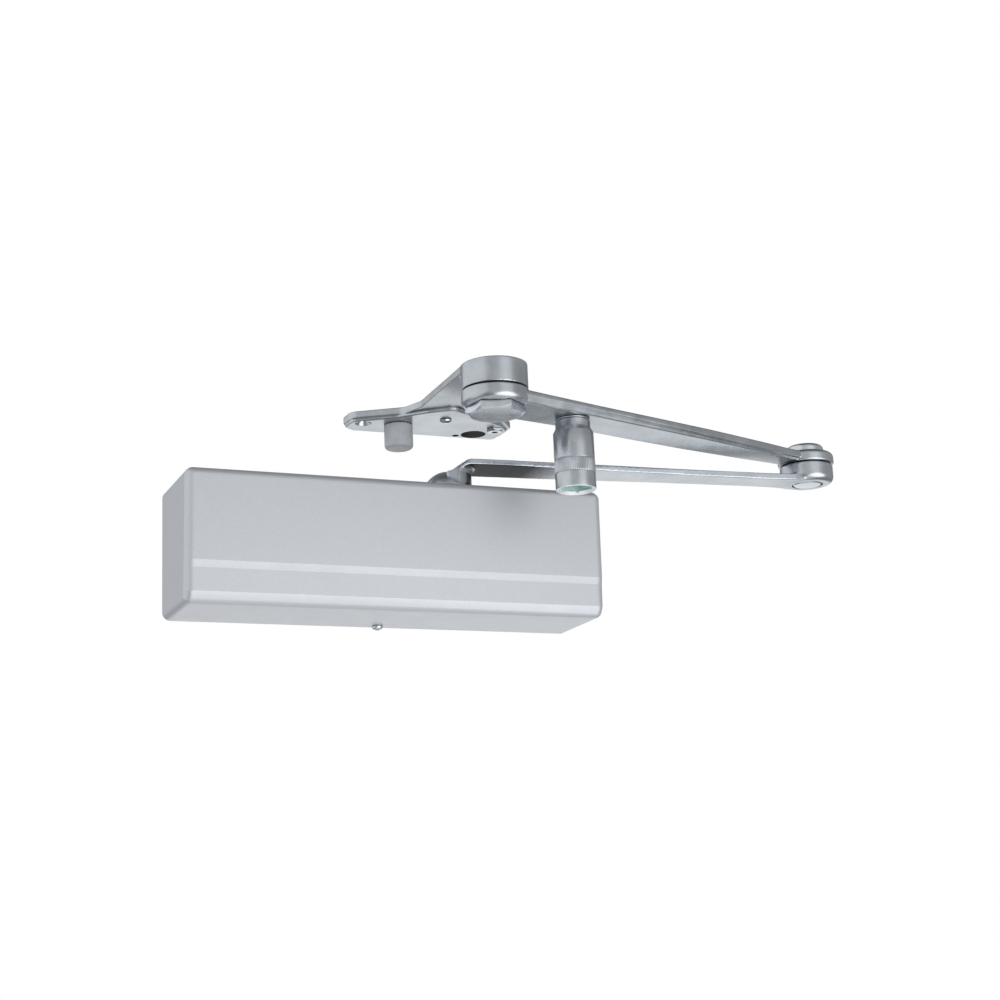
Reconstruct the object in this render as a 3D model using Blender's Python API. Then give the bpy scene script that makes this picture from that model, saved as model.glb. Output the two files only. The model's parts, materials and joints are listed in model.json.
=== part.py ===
"""Surface-mounted door closer with a parallel arm, soffit bracket and hold-open knob.

The closer is shown as it stands on a shut door. X runs along the door to the arm's elbow, Z is up, and the
door's face is the plane Y = 0, with the closer standing out of it towards -Y. The origin is the middle of the
closer's mounting face. Sizes below are in millimetres, and every mesh is made in metres.
"""

import math

import bmesh
import bpy
from mathutils import Matrix

MM = 0.001
GAP = 0.3

# Cover, a shell that is open towards the door
COVER_LENGTH = 322.0
COVER_HEIGHT = 97.0
COVER_DEPTH = 79.8
COVER_BACK = 4.5
COVER_WALL = 2.5
COVER_EDGE = 6.0
COVER_NOTCH = 12.0
COVER_SCREW_X = 1.0
COVER_SCREW_Y = -11.5
HALF_LENGTH = COVER_LENGTH / 2
HALF_HEIGHT = COVER_HEIGHT / 2

# Hydraulic body: a barrel along X, a pinion tower along Z, and a mounting foot against the door
BARREL_Y = -35.0
BARREL_RADIUS = 26.0
BARREL_HALF = 128.0
BORE_RADIUS = 21.0
FOOT_HALF_LENGTH = 152.0
FOOT_HALF_HEIGHT = 22.0
FOOT_DEPTH = 8.0
FOOT_HOLE_X = 146.0
FOOT_HOLE_Z = 14.0
TOWER_RADIUS = 19.0
TOWER_HALF = 43.0
TOWER_BORE = 14.3
CAP_FLANGE = 25.0
CAP_OUTER = BARREL_HALF + 8.0
SEAL_INNER = 118.0
SEAL_OUTER = 121.0

# Regulating screws, on a circle round the barrel's axis in the head end cap
VALVE_CIRCLE = 12.5
VALVE_RADIUS = 2.7
VALVE_HEAD = CAP_OUTER + 1.2
VALVE_ANGLES = {"sweep_valve": 90.0, "latch_valve": 210.0, "backcheck_valve": 330.0}

# Pinion and rack
SPINDLE_X = 53.0
MODULE = 2.2
TEETH = 10
PITCH_RADIUS = MODULE * TEETH / 2
PRESSURE_ANGLE = math.radians(20.0)
BACKLASH = 0.30
GEAR_HALF = 12.0
RACK_TEETH = 15
JOURNAL_RADIUS = 8.0
SQUARE_HALF = 5.6
PISTON_RADIUS = 20.7
PISTON_LEFT = 19.5
PISTON_RIGHT = 110.0
WINDOW_LEFT = 37.0
WINDOW_RIGHT = 94.0

# Closing spring
SPRING_LEFT = -106.7
SPRING_RIGHT = 19.1
SPRING_RADIUS = 16.6
WIRE_RADIUS = 2.5
SPRING_TURNS = 8

# Arm joints, in plan
SPINDLE = (SPINDLE_X, BARREL_Y)
ELBOW = (353.7, -68.6)
PIVOT = (42.7, -158.7)

# Main arm
HUB_RADIUS = 18.8
HUB_LOW = 49.75
HUB_REACH = 25.5
HUB_SEAT = 60.5
HUB_RECESS = 7.6
DOME_RADIUS = 19.9
DOME_CENTRE = 48.6
ARM_LOW_HUB = 70.75
ARM_LOW_ELBOW = 68.4
ARM_TOP_HUB = 75.2
ARM_TOP_ELBOW = 73.6
ARM_HALF_HUB = 18.2
ARM_HALF_ELBOW = 12.5
ELBOW_RADIUS = 21.3
ELBOW_LOW = 68.3
ELBOW_SEAM = 83.75
ELBOW_TOP = 93.5
RIVET_LOW = 67.9
RIVET_SHOULDER = 71.1
RIVET_HEAD = 12.0
RIVET_RADIUS = 7.0
RIVET_TENON = 5.0
RIVET_TOP = ELBOW_TOP + 2.5
CAP_RADIUS = 15.0
CAP_HEIGHT = 6.8

# Forearm
FOREARM_TOP = 92.1
FOREARM_LEAN = 2.5
FOREARM_DISC = 22.5
PIVOT_RADIUS = 24.4
PIVOT_DISC_LOW = 82.75
PIVOT_DISC_TOP = 94.1

# The forearm's bar, as (distance from the pivot, half width, height of the parting line, underside)
FOREARM_SECTIONS = [
    (8.0, 22.5, 88.8, 83.3),
    (32.0, 21.5, 88.8, 83.5),
    (82.0, 20.0, 88.8, 84.2),
    (143.0, 19.2, 88.0, 84.0),
    (200.0, 18.0, 86.8, 84.0),
    (262.0, 14.8, 86.5, 84.2),
    (292.0, 12.5, 86.5, 84.3),
]

# Soffit bracket
SOFFIT = 113.75
PLATE_LOW = 108.25
PAD_LOW = 105.75
BOSS_LOW = 95.3
BOSS_RADIUS = 24.0
COUNTERSINK = (-10.6, -25.0)
SMALL_HOLE = (70.0, -12.0)
TOOL_HOLE = (82.4, -18.5)
BRACKET_SCREW = (47.5, -49.5)
INSERT = (93.5, -36.0)
BUMPER = (17.0, -27.0)
BUMPER_RADIUS = 11.0
BUMPER_LOW = 86.75
BUMPER_POCKET = 93.0

# Pivot bolt
BOLT_LOW = 76.8
BOLT_CORNER = 21.8
BOLT_FACE = 18.0
BOLT_TURN = 38.0
BOLT_SHANK = 8.0
BOLT_TOP = 104.0
BUSH_RADIUS = 11.0

# Hold-open knob, placed along and across the forearm from the pivot
KNOB_ALONG = 70.4
KNOB_ACROSS = -2.0
KNOB_LOW = 30.5
KNOB_RADIUS = 14.8
KNOB_NECK = 12.8
KNOB_BAND_LOW = 42.5
KNOB_BAND_HIGH = 52.6
KNOB_SHOULDER = 70.5
KNOB_NECK_LOW = 73.8
KNOB_TOP = 82.3
COLLAR_TOP = 83.5
SOCKET_CORNER = 12.8
SOCKET_TOP = 43.9
SLEEVE_BORE = 8.6
SLEEVE_BORE_TOP = 51.6
STUD_LOW = 42.0
STUD_TOP = 90.0

ROUND = 28
SMALL_ROUND = 14


def clear_scene():
    for thing in list(bpy.data.objects):
        bpy.data.objects.remove(thing, do_unlink=True)


def make_material(name, color, roughness, metallic):
    material = bpy.data.materials.new(name)
    material.use_nodes = True
    shader = material.node_tree.nodes["Principled BSDF"]
    shader.inputs["Base Color"].default_value = (*color, 1.0)
    shader.inputs["Roughness"].default_value = roughness
    shader.inputs["Metallic"].default_value = metallic
    return material


# Outlines, as lists of (x, y) in millimetres


def arc(centre_x, centre_y, radius, start, end, steps):
    """Points along an arc, with its angles in degrees and both ends included."""
    points = []
    for step in range(steps + 1):
        angle = math.radians(start + (end - start) * step / steps)
        points.append((centre_x + radius * math.cos(angle), centre_y + radius * math.sin(angle)))
    return points


def circle(centre_x, centre_y, radius, steps=ROUND, turn=0.0):
    return arc(centre_x, centre_y, radius, turn, turn + 360.0, steps)[:-1]


def rounded(corners, quarter_steps=4):
    """A closed outline from corners given as (x, y, radius), with quarter_steps sides to a quarter turn."""
    points = []
    count = len(corners)
    for index, (x, y, radius) in enumerate(corners):
        if radius <= 0:
            points.append((x, y))
            continue
        before = corners[index - 1]
        after = corners[(index + 1) % count]
        in_x, in_y = x - before[0], y - before[1]
        out_x, out_y = after[0] - x, after[1] - y
        in_length = math.hypot(in_x, in_y)
        out_length = math.hypot(out_x, out_y)
        in_x, in_y = in_x / in_length, in_y / in_length
        out_x, out_y = out_x / out_length, out_y / out_length
        turn = math.atan2(in_x * out_y - in_y * out_x, in_x * out_x + in_y * out_y)
        reach = radius * math.tan(abs(turn) / 2)
        side = math.copysign(1.0, turn)
        centre_x = x - in_x * reach - in_y * radius * side
        centre_y = y - in_y * reach + in_x * radius * side
        start = math.atan2(-in_x * side, in_y * side)
        steps = max(1, math.ceil(quarter_steps * abs(turn) / (math.pi / 2) - 0.1))
        for step in range(steps + 1):
            angle = start + turn * step / steps
            points.append((centre_x + radius * math.cos(angle), centre_y + radius * math.sin(angle)))
    return points


def offset_corner(before, corner, after, distance_before, distance_after):
    """Where two sides meet once each has moved inward, for an outline that runs anticlockwise."""
    ax, ay = corner[0] - before[0], corner[1] - before[1]
    bx, by = after[0] - corner[0], after[1] - corner[1]
    a_length = math.hypot(ax, ay)
    b_length = math.hypot(bx, by)
    ax, ay, bx, by = ax / a_length, ay / a_length, bx / b_length, by / b_length
    px, py = corner[0] - ay * distance_before, corner[1] + ax * distance_before
    qx, qy = corner[0] - by * distance_after, corner[1] + bx * distance_after
    cross = ax * by - ay * bx
    if abs(cross) < 1e-6:
        return px, py
    along = ((qx - px) * by - (qy - py) * bx) / cross
    return px + ax * along, py + ay * along


# Solids, as bmesh made in metres from sizes in millimetres


def to_axis(x, y, height, axis):
    if axis == "X":
        return (height * MM, x * MM, y * MM)
    if axis == "Y":
        return (x * MM, height * MM, y * MM)
    return (x * MM, y * MM, height * MM)


def loft(sections, axis="Z", closed=False):
    """A solid through sections of equal length, each given as (points, height)."""
    solid = bmesh.new()
    rings = []
    for points, height in sections:
        rings.append([solid.verts.new(to_axis(x, y, height, axis)) for x, y in points])
    pairs = list(zip(rings, rings[1:]))
    if closed:
        pairs.append((rings[-1], rings[0]))
    for lower, upper in pairs:
        for index in range(len(lower)):
            following = (index + 1) % len(lower)
            solid.faces.new((lower[index], lower[following], upper[following], upper[index]))
    if not closed:
        solid.faces.new(reversed(rings[0]))
        solid.faces.new(rings[-1])
    bmesh.ops.recalc_face_normals(solid, faces=solid.faces)
    return solid


def prism(points, low, high, axis="Z"):
    return loft([(points, low), (points, high)], axis)


def turned(profile, centre=(0.0, 0.0), axis="Z", steps=ROUND):
    """A solid of revolution. profile lists (radius, height), from the axis out and back, or round a ring."""
    solid = bmesh.new()
    rings = []
    for radius, height in profile:
        if radius < 1e-6:
            rings.append([solid.verts.new(to_axis(centre[0], centre[1], height, axis))])
            continue
        points = circle(centre[0], centre[1], radius, steps)
        rings.append([solid.verts.new(to_axis(x, y, height, axis)) for x, y in points])
    pairs = list(zip(rings, rings[1:]))
    if len(rings[0]) > 1 and len(rings[-1]) > 1:
        pairs.append((rings[-1], rings[0]))
    for first, second in pairs:
        for index in range(steps):
            following = (index + 1) % steps
            corners = [first[index % len(first)], first[following % len(first)]]
            corners += [second[following % len(second)], second[index % len(second)]]
            unique = list(dict.fromkeys(corners))
            solid.faces.new(unique)
    bmesh.ops.recalc_face_normals(solid, faces=solid.faces)
    return solid


def box(low, high):
    x0, y0, z0 = low
    x1, y1, z1 = high
    return prism([(x0, y0), (x1, y0), (x1, y1), (x0, y1)], z0, z1)


def merged(solids):
    """Several separate solids in one mesh, for identical fasteners."""
    group = bmesh.new()
    for solid in solids:
        mesh = bpy.data.meshes.new("part_of_group")
        solid.to_mesh(mesh)
        group.from_mesh(mesh)
        bpy.data.meshes.remove(mesh)
        solid.free()
    return group


# Objects


def add_object(name, solid, origin):
    """An object with its origin at a point of the model, given in millimetres."""
    place = [value * MM for value in origin]
    bmesh.ops.translate(solid, verts=solid.verts, vec=[-value for value in place])
    mesh = bpy.data.meshes.new(name)
    solid.to_mesh(mesh)
    solid.free()
    thing = bpy.data.objects.new(name, mesh)
    thing.location = place
    bpy.context.scene.collection.objects.link(thing)
    return thing


def add_piece(name, solid, material, origin=(0.0, 0.0, 0.0)):
    thing = add_object(name, solid, origin)
    thing.data.materials.append(material)
    thing.data.shade_smooth()
    thing.data.set_sharp_from_angle(angle=math.radians(32.0))
    return thing


def add_tool(name, solid, origin=(0.0, 0.0, 0.0)):
    """A hidden solid that a Boolean uses."""
    tool = add_object(name, solid, origin)
    tool.hide_render = True
    tool.display_type = "WIRE"
    return tool


def combine(piece, operation, solid, origin=(0.0, 0.0, 0.0)):
    tool = add_tool(piece.name + "_tool_" + str(len(piece.modifiers)), solid, origin)
    modifier = piece.modifiers.new(operation.lower(), "BOOLEAN")
    modifier.operation = operation
    modifier.solver = "EXACT"
    modifier.object = tool
    return tool


def cut(piece, solid):
    return combine(piece, "DIFFERENCE", solid)


def join(piece, solid):
    return combine(piece, "UNION", solid)


def swing_into_place(solid, start, target):
    """Turn and move a solid made along +X from the origin so that it runs from start towards target."""
    angle = math.atan2(target[1] - start[1], target[0] - start[0])
    move = Matrix.Translation((start[0] * MM, start[1] * MM, 0.0))
    bmesh.ops.transform(solid, verts=solid.verts, matrix=move @ Matrix.Rotation(angle, 4, "Z"))
    return solid


def along_arm(start, target, along, across):
    """A point in plan, given along and across the line from start to target."""
    angle = math.atan2(target[1] - start[1], target[0] - start[0])
    x = start[0] + along * math.cos(angle) - across * math.sin(angle)
    y = start[1] + along * math.sin(angle) + across * math.cos(angle)
    return x, y


ARM_LENGTH = math.dist(SPINDLE, ELBOW)
FOREARM_LENGTH = math.dist(PIVOT, ELBOW)
KNOB = along_arm(PIVOT, ELBOW, KNOB_ALONG, KNOB_ACROSS)


# Cover


def cover_corners():
    """The cover's section as (y, z, corner radius), anticlockwise seen from +X, back edges first and last."""
    return [
        (-COVER_BACK, HALF_HEIGHT, 0.0),
        (-COVER_DEPTH, HALF_HEIGHT, 6.0),
        (-77.9, -18.5, 0.8),
        (-76.8, -23.8, 0.6),
        (-76.2, -40.6, 0.6),
        (-71.7, -HALF_HEIGHT, 6.0),
        (-COVER_BACK, -HALF_HEIGHT, 0.0),
    ]


def cover_section(inset, back=COVER_BACK):
    corners = cover_corners()
    count = len(corners)
    moved = []
    for index, (y, z, radius) in enumerate(corners):
        before = corners[index - 1]
        after = corners[(index + 1) % count]
        first = 0.0 if index == 0 else inset
        second = 0.0 if index == count - 1 else inset
        new_y, new_z = offset_corner(before, (y, z), after, first, second)
        if index in (0, count - 1):
            new_y = -back
        moved.append((new_y, new_z, max(radius - inset, 0.15) if radius else 0.0))
    return rounded(moved, 3)


def make_cover(material):
    sections = []
    for side in (-1, 1):
        rings = []
        for step in range(4):
            angle = math.pi / 2 * step / 3
            inset = COVER_EDGE * (1 - math.sin(angle))
            rings.append((cover_section(inset), side * (HALF_LENGTH - COVER_EDGE * (1 - math.cos(angle)))))
        sections += rings if side < 0 else rings[::-1]
    cover = add_piece("cover", loft(sections, "X"), material)
    inside = HALF_LENGTH - COVER_WALL
    cut(cover, prism(cover_section(COVER_WALL, back=-5.0), -inside, inside, "X"))
    notch = arc(SPINDLE_X, BARREL_Y, COVER_NOTCH, 180.0, 360.0, 12)
    notch += [(SPINDLE_X + COVER_NOTCH, 5.0), (SPINDLE_X - COVER_NOTCH, 5.0)]
    cut(cover, prism(notch, HALF_HEIGHT - 5.0, HALF_HEIGHT + 5.0))
    cut(cover, prism(circle(COVER_SCREW_X, COVER_SCREW_Y, 2.5, 16), -HALF_HEIGHT - 5.0, -HALF_HEIGHT + 5.0))
    return cover


def make_cover_screw(material):
    low = -HALF_HEIGHT - GAP
    profile = [(0.0, low - 2.9), (2.6, low - 2.8), (3.9, low - 1.7), (4.2, low), (2.1, low)]
    profile += [(2.1, low + 12.0), (0.0, low + 12.6)]
    place = (COVER_SCREW_X, COVER_SCREW_Y)
    screw = add_piece("cover_screw", turned(profile, place, steps=SMALL_ROUND), material)
    socket = circle(COVER_SCREW_X, COVER_SCREW_Y, 1.6, 6)
    cut(screw, prism(socket, low - 5.0, low - 1.2))
    return screw


# Hydraulic body


def make_closer_body(material):
    barrel = prism(circle(BARREL_Y, 0.0, BARREL_RADIUS), -BARREL_HALF, BARREL_HALF, "X")
    body = add_piece("closer_body", barrel, material)
    join(body, prism(circle(SPINDLE_X, BARREL_Y, TOWER_RADIUS), -TOWER_HALF, TOWER_HALF))
    join(body, box((-118.0, -24.0, -17.0), (118.0, -4.0, 17.0)))
    foot = rounded(
        [
            (-FOOT_HALF_LENGTH, -FOOT_HALF_HEIGHT, 6.0),
            (FOOT_HALF_LENGTH, -FOOT_HALF_HEIGHT, 6.0),
            (FOOT_HALF_LENGTH, FOOT_HALF_HEIGHT, 6.0),
            (-FOOT_HALF_LENGTH, FOOT_HALF_HEIGHT, 6.0),
        ],
        3,
    )
    join(body, prism(foot, -FOOT_DEPTH, 0.0, "Y"))
    lug_low = -HALF_HEIGHT + COVER_WALL + GAP
    lug_front = COVER_SCREW_Y - 6.5
    join(body, box((COVER_SCREW_X - 7.0, lug_front, lug_low), (COVER_SCREW_X + 7.0, -1.0, -13.0)))
    cut(body, prism(circle(BARREL_Y, 0.0, BORE_RADIUS), -BARREL_HALF - 5.0, BARREL_HALF + 5.0, "X"))
    cut(body, prism(circle(SPINDLE_X, BARREL_Y, TOWER_BORE), -TOWER_HALF - 5.0, TOWER_HALF + 5.0))
    cut(body, prism(circle(COVER_SCREW_X, COVER_SCREW_Y, 2.4, 16), lug_low - 5.0, lug_low + 12.0))
    holes = []
    for side_x in (-1, 1):
        for side_z in (-1, 1):
            hole = circle(side_x * FOOT_HOLE_X, side_z * FOOT_HOLE_Z, 3.2, 16)
            holes.append(prism(hole, -FOOT_DEPTH - 5.0, 5.0, "Y"))
    cut(body, merged(holes))
    return body


def make_end_cap(name, side, material):
    """A threaded plug, grooved for its seal and flanged outside the barrel. side is +1 or -1 along X."""
    inner = BARREL_HALF - 14.0
    flange = BARREL_HALF + GAP
    plug = BORE_RADIUS - 0.4
    groove = plug - 1.9
    profile = [
        (0.0, inner),
        (plug - 1.0, inner),
        (plug, inner + 1.0),
        (plug, SEAL_INNER),
        (groove, SEAL_INNER),
        (groove, SEAL_OUTER),
        (plug, SEAL_OUTER),
        (plug, flange),
        (CAP_FLANGE, flange),
        (CAP_FLANGE, CAP_OUTER - 1.5),
        (CAP_FLANGE - 1.5, CAP_OUTER),
        (0.0, CAP_OUTER),
    ]
    placed = [(radius, side * place) for radius, place in profile]
    return add_piece(name, turned(placed, (BARREL_Y, 0.0), "X"), material)


def make_cap_seal(name, side, material):
    low, high = SEAL_INNER + GAP, SEAL_OUTER - GAP
    profile = [(19.0, low), (20.7, low), (20.7, high), (19.0, high)]
    placed = [(radius, side * place) for radius, place in profile]
    return add_piece(name, turned(placed, (BARREL_Y, 0.0), "X"), material)


def valve_centre(name):
    angle = math.radians(VALVE_ANGLES[name])
    return BARREL_Y + VALVE_CIRCLE * math.cos(angle), VALVE_CIRCLE * math.sin(angle)


def make_head_end_cap(material):
    cap = make_end_cap("head_end_cap", 1, material)
    join(cap, prism(circle(BARREL_Y, 0.0, 7.5, 6), CAP_OUTER - 3.0, CAP_OUTER + 4.0, "X"))
    holes = []
    for name in VALVE_ANGLES:
        y, z = valve_centre(name)
        holes.append(prism(circle(y, z, VALVE_RADIUS + GAP, 12), SEAL_INNER - 0.5, CAP_OUTER + 5.0, "X"))
    cut(cap, merged(holes))
    return cap


def make_valve(name, material):
    """A regulating screw: needle point inside, slotted head outside."""
    y, z = valve_centre(name)
    profile = [(0.0, SEAL_INNER), (1.2, SEAL_INNER + 1.5), (VALVE_RADIUS, SEAL_INNER + 4.5)]
    profile += [(VALVE_RADIUS, VALVE_HEAD - 0.5), (VALVE_RADIUS - 0.5, VALVE_HEAD), (0.0, VALVE_HEAD)]
    valve = add_piece(name, turned(profile, (y, z), "X", 12), material, (VALVE_HEAD, y, z))
    cut(valve, box((VALVE_HEAD - 1.2, y - 5.0, z - 0.5), (VALVE_HEAD + 2.0, y + 5.0, z + 0.5)))
    return valve


def make_spring_end_cap(material):
    cap = make_end_cap("spring_end_cap", -1, material)
    cut(cap, prism(circle(BARREL_Y, 0.0, 5.3, SMALL_ROUND), -150.0, -100.0, "X"))
    return cap


def make_spring_adjuster(material):
    """The power-adjusting screw, with a hexagon head outside the cap."""
    outside = -CAP_OUTER - GAP
    profile = [(0.0, -112.0), (5.0, -112.0), (5.0, outside - 1.0), (0.0, outside - 1.0)]
    shank = turned(profile, (BARREL_Y, 0.0), "X", SMALL_ROUND)
    screw = add_piece("spring_adjuster", shank, material, (outside, BARREL_Y, 0.0))
    join(screw, prism(circle(BARREL_Y, 0.0, 8.0, 6), outside - 6.0, outside, "X"))
    return screw


def make_spring_seat(material):
    profile = [(0.0, -111.7), (20.3, -111.7), (20.3, -107.0), (12.5, -107.0), (11.5, -99.0), (0.0, -99.0)]
    return add_piece("spring_seat", turned(profile, (BARREL_Y, 0.0), "X"), material)


def make_spring(material):
    """A coil whose last turn at each end closes up flat, made by sweeping a ring along a helix."""
    steps = 12
    sides = 5
    total = SPRING_TURNS * steps
    low = SPRING_LEFT + WIRE_RADIUS
    high = SPRING_RIGHT - WIRE_RADIUS
    closed_rise = 2 * WIRE_RADIUS + 0.4
    solid = bmesh.new()
    rings = []
    for step in range(total + 1):
        turn = step / steps
        if turn < 1:
            along = low + closed_rise * turn
        elif turn > SPRING_TURNS - 1:
            along = high - closed_rise * (SPRING_TURNS - turn)
        else:
            share = (turn - 1) / (SPRING_TURNS - 2)
            along = low + closed_rise + (high - low - 2 * closed_rise) * share
        angle = 2 * math.pi * turn
        ring = []
        for side in range(sides):
            around = 2 * math.pi * side / sides
            radius = SPRING_RADIUS + WIRE_RADIUS * math.cos(around)
            y = BARREL_Y + radius * math.cos(angle)
            z = radius * math.sin(angle)
            x = along + WIRE_RADIUS * math.sin(around)
            ring.append(solid.verts.new((x * MM, y * MM, z * MM)))
        rings.append(ring)
    for first, second in zip(rings, rings[1:]):
        for side in range(sides):
            following = (side + 1) % sides
            solid.faces.new((first[side], first[following], second[following], second[side]))
    solid.faces.new(reversed(rings[0]))
    solid.faces.new(rings[-1])
    bmesh.ops.recalc_face_normals(solid, faces=solid.faces)
    return add_piece("closing_spring", solid, material, (SPRING_LEFT, BARREL_Y, 0.0))


def make_tower_ring(name, inner, outer, low, high, material):
    """A ring round the spindle, such as a bearing, seal or nut."""
    profile = [(inner, low), (outer, low), (outer, high), (inner, high)]
    return add_piece(name, turned(profile, SPINDLE, steps=20), material)


def make_tower_stack(end, sign, steel, rubber):
    spans = {
        end + "_bearing": (22.5, 33.5, steel),
        end + "_shaft_seal": (33.8, 37.8, rubber),
        end + "_bearing_nut": (38.1, 42.7, steel),
    }
    for name, (near, far, material) in spans.items():
        low, high = sorted((sign * near, sign * far))
        make_tower_ring(name, JOURNAL_RADIUS + GAP, TOWER_BORE - GAP, low, high, material)


# Pinion and piston


def involute(angle):
    return math.tan(angle) - angle


def pinion_outline():
    """An involute pinion with one tooth's middle on its -Y side, thinned for backlash."""
    base = PITCH_RADIUS * math.cos(PRESSURE_ANGLE)
    root = PITCH_RADIUS - 1.2 * MODULE
    tip = PITCH_RADIUS + 0.9 * MODULE
    half_tooth = math.pi / (2 * TEETH) - BACKLASH / 2 / PITCH_RADIUS
    start_radius = max(base, root) * 1.0001
    flank_steps = 3
    points = []
    for tooth in range(TEETH):
        middle = -math.pi / 2 + 2 * math.pi * tooth / TEETH
        flank = []
        for step in range(flank_steps + 1):
            radius = start_radius + (tip - start_radius) * step / flank_steps
            pressure = math.acos(base / radius)
            flank.append((radius, half_tooth + involute(PRESSURE_ANGLE) - involute(pressure)))
        points.append((root, middle - flank[0][1]))
        points += [(radius, middle - half) for radius, half in flank]
        points += [(radius, middle + half) for radius, half in reversed(flank)]
        points.append((root, middle + flank[0][1]))
    return [
        (SPINDLE[0] + radius * math.cos(angle), SPINDLE[1] + radius * math.sin(angle))
        for radius, angle in points
    ]


def make_pinion_shaft(material):
    profile = [
        (0.0, -TOWER_HALF),
        (6.5, -TOWER_HALF),
        (7.0, -TOWER_HALF + 0.5),
        (7.0, -37.9),
        (JOURNAL_RADIUS, -37.9),
        (JOURNAL_RADIUS, 44.5),
        (0.0, 44.5),
    ]
    shaft = add_piece("pinion_shaft", turned(profile, SPINDLE, steps=24), material, (*SPINDLE, 0.0))
    join(shaft, prism(pinion_outline(), -GEAR_HALF, GEAR_HALF))
    x, y = SPINDLE
    join(shaft, box((x - SQUARE_HALF, y - SQUARE_HALF, 40.0), (x + SQUARE_HALF, y + SQUARE_HALF, HUB_SEAT - 0.5)))
    cut(shaft, prism(circle(x, y, 2.8, 12), 50.0, 70.0))
    return shaft


def rack_outline():
    """The rack's teeth in plan: a strip along X with teeth that reach towards the pinion."""
    pitch = math.pi * MODULE
    pitch_line = SPINDLE[1] - PITCH_RADIUS
    top = pitch_line + 0.9 * MODULE
    bottom = pitch_line - 1.2 * MODULE
    back = bottom - 2.0
    slope = math.tan(PRESSURE_ANGLE)
    half_pitch_line = pitch / 4 - BACKLASH / 2
    points = []
    left, right = WINDOW_LEFT - 2.0, WINDOW_RIGHT + 2.0
    first = math.ceil((left + 3.0 - SPINDLE_X) / pitch - 0.5)
    for index in range(first, first + RACK_TEETH):
        middle = SPINDLE_X + (index + 0.5) * pitch
        if middle + pitch / 2 > right:
            break
        at_top = half_pitch_line - (top - pitch_line) * slope
        at_bottom = half_pitch_line + (pitch_line - bottom) * slope
        points += [(middle - at_bottom, bottom), (middle - at_top, top)]
        points += [(middle + at_top, top), (middle + at_bottom, bottom)]
    return [(left, bottom)] + points + [(right, bottom), (right, back), (left, back)]


def make_rack_piston(material):
    """A piston with two heads and a window between them, whose front wall carries the rack."""
    bar = prism(circle(BARREL_Y, 0.0, PISTON_RADIUS), PISTON_LEFT, PISTON_RIGHT, "X")
    piston = add_piece("rack_piston", bar, material, (PISTON_LEFT, BARREL_Y, 0.0))
    root_line = BARREL_Y - PITCH_RADIUS - 1.2 * MODULE
    cut(piston, box((WINDOW_LEFT, root_line - 0.6, -30.0), (WINDOW_RIGHT, 0.0, 30.0)))
    join(piston, prism(rack_outline(), -GEAR_HALF + 1.0, GEAR_HALF - 1.0))
    cut(piston, prism(circle(BARREL_Y, 0.0, 4.0, 16), PISTON_RIGHT - 9.0, PISTON_RIGHT + 5.0, "X"))
    cut(piston, prism(circle(BARREL_Y, 0.0, 1.6, 12), WINDOW_RIGHT - 5.0, PISTON_RIGHT + 5.0, "X"))
    return piston


def make_check_ball(material):
    radius = 3.2
    centre = PISTON_RIGHT - 9.0 + GAP + radius
    steps = 6
    profile = []
    for step in range(steps + 1):
        angle = math.pi * step / steps
        profile.append((radius * math.sin(angle), centre - radius * math.cos(angle)))
    profile[0] = (0.0, centre - radius)
    profile[-1] = (0.0, centre + radius)
    return add_piece("check_valve_ball", turned(profile, (BARREL_Y, 0.0), "X", 10), material)


# Main arm


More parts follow.
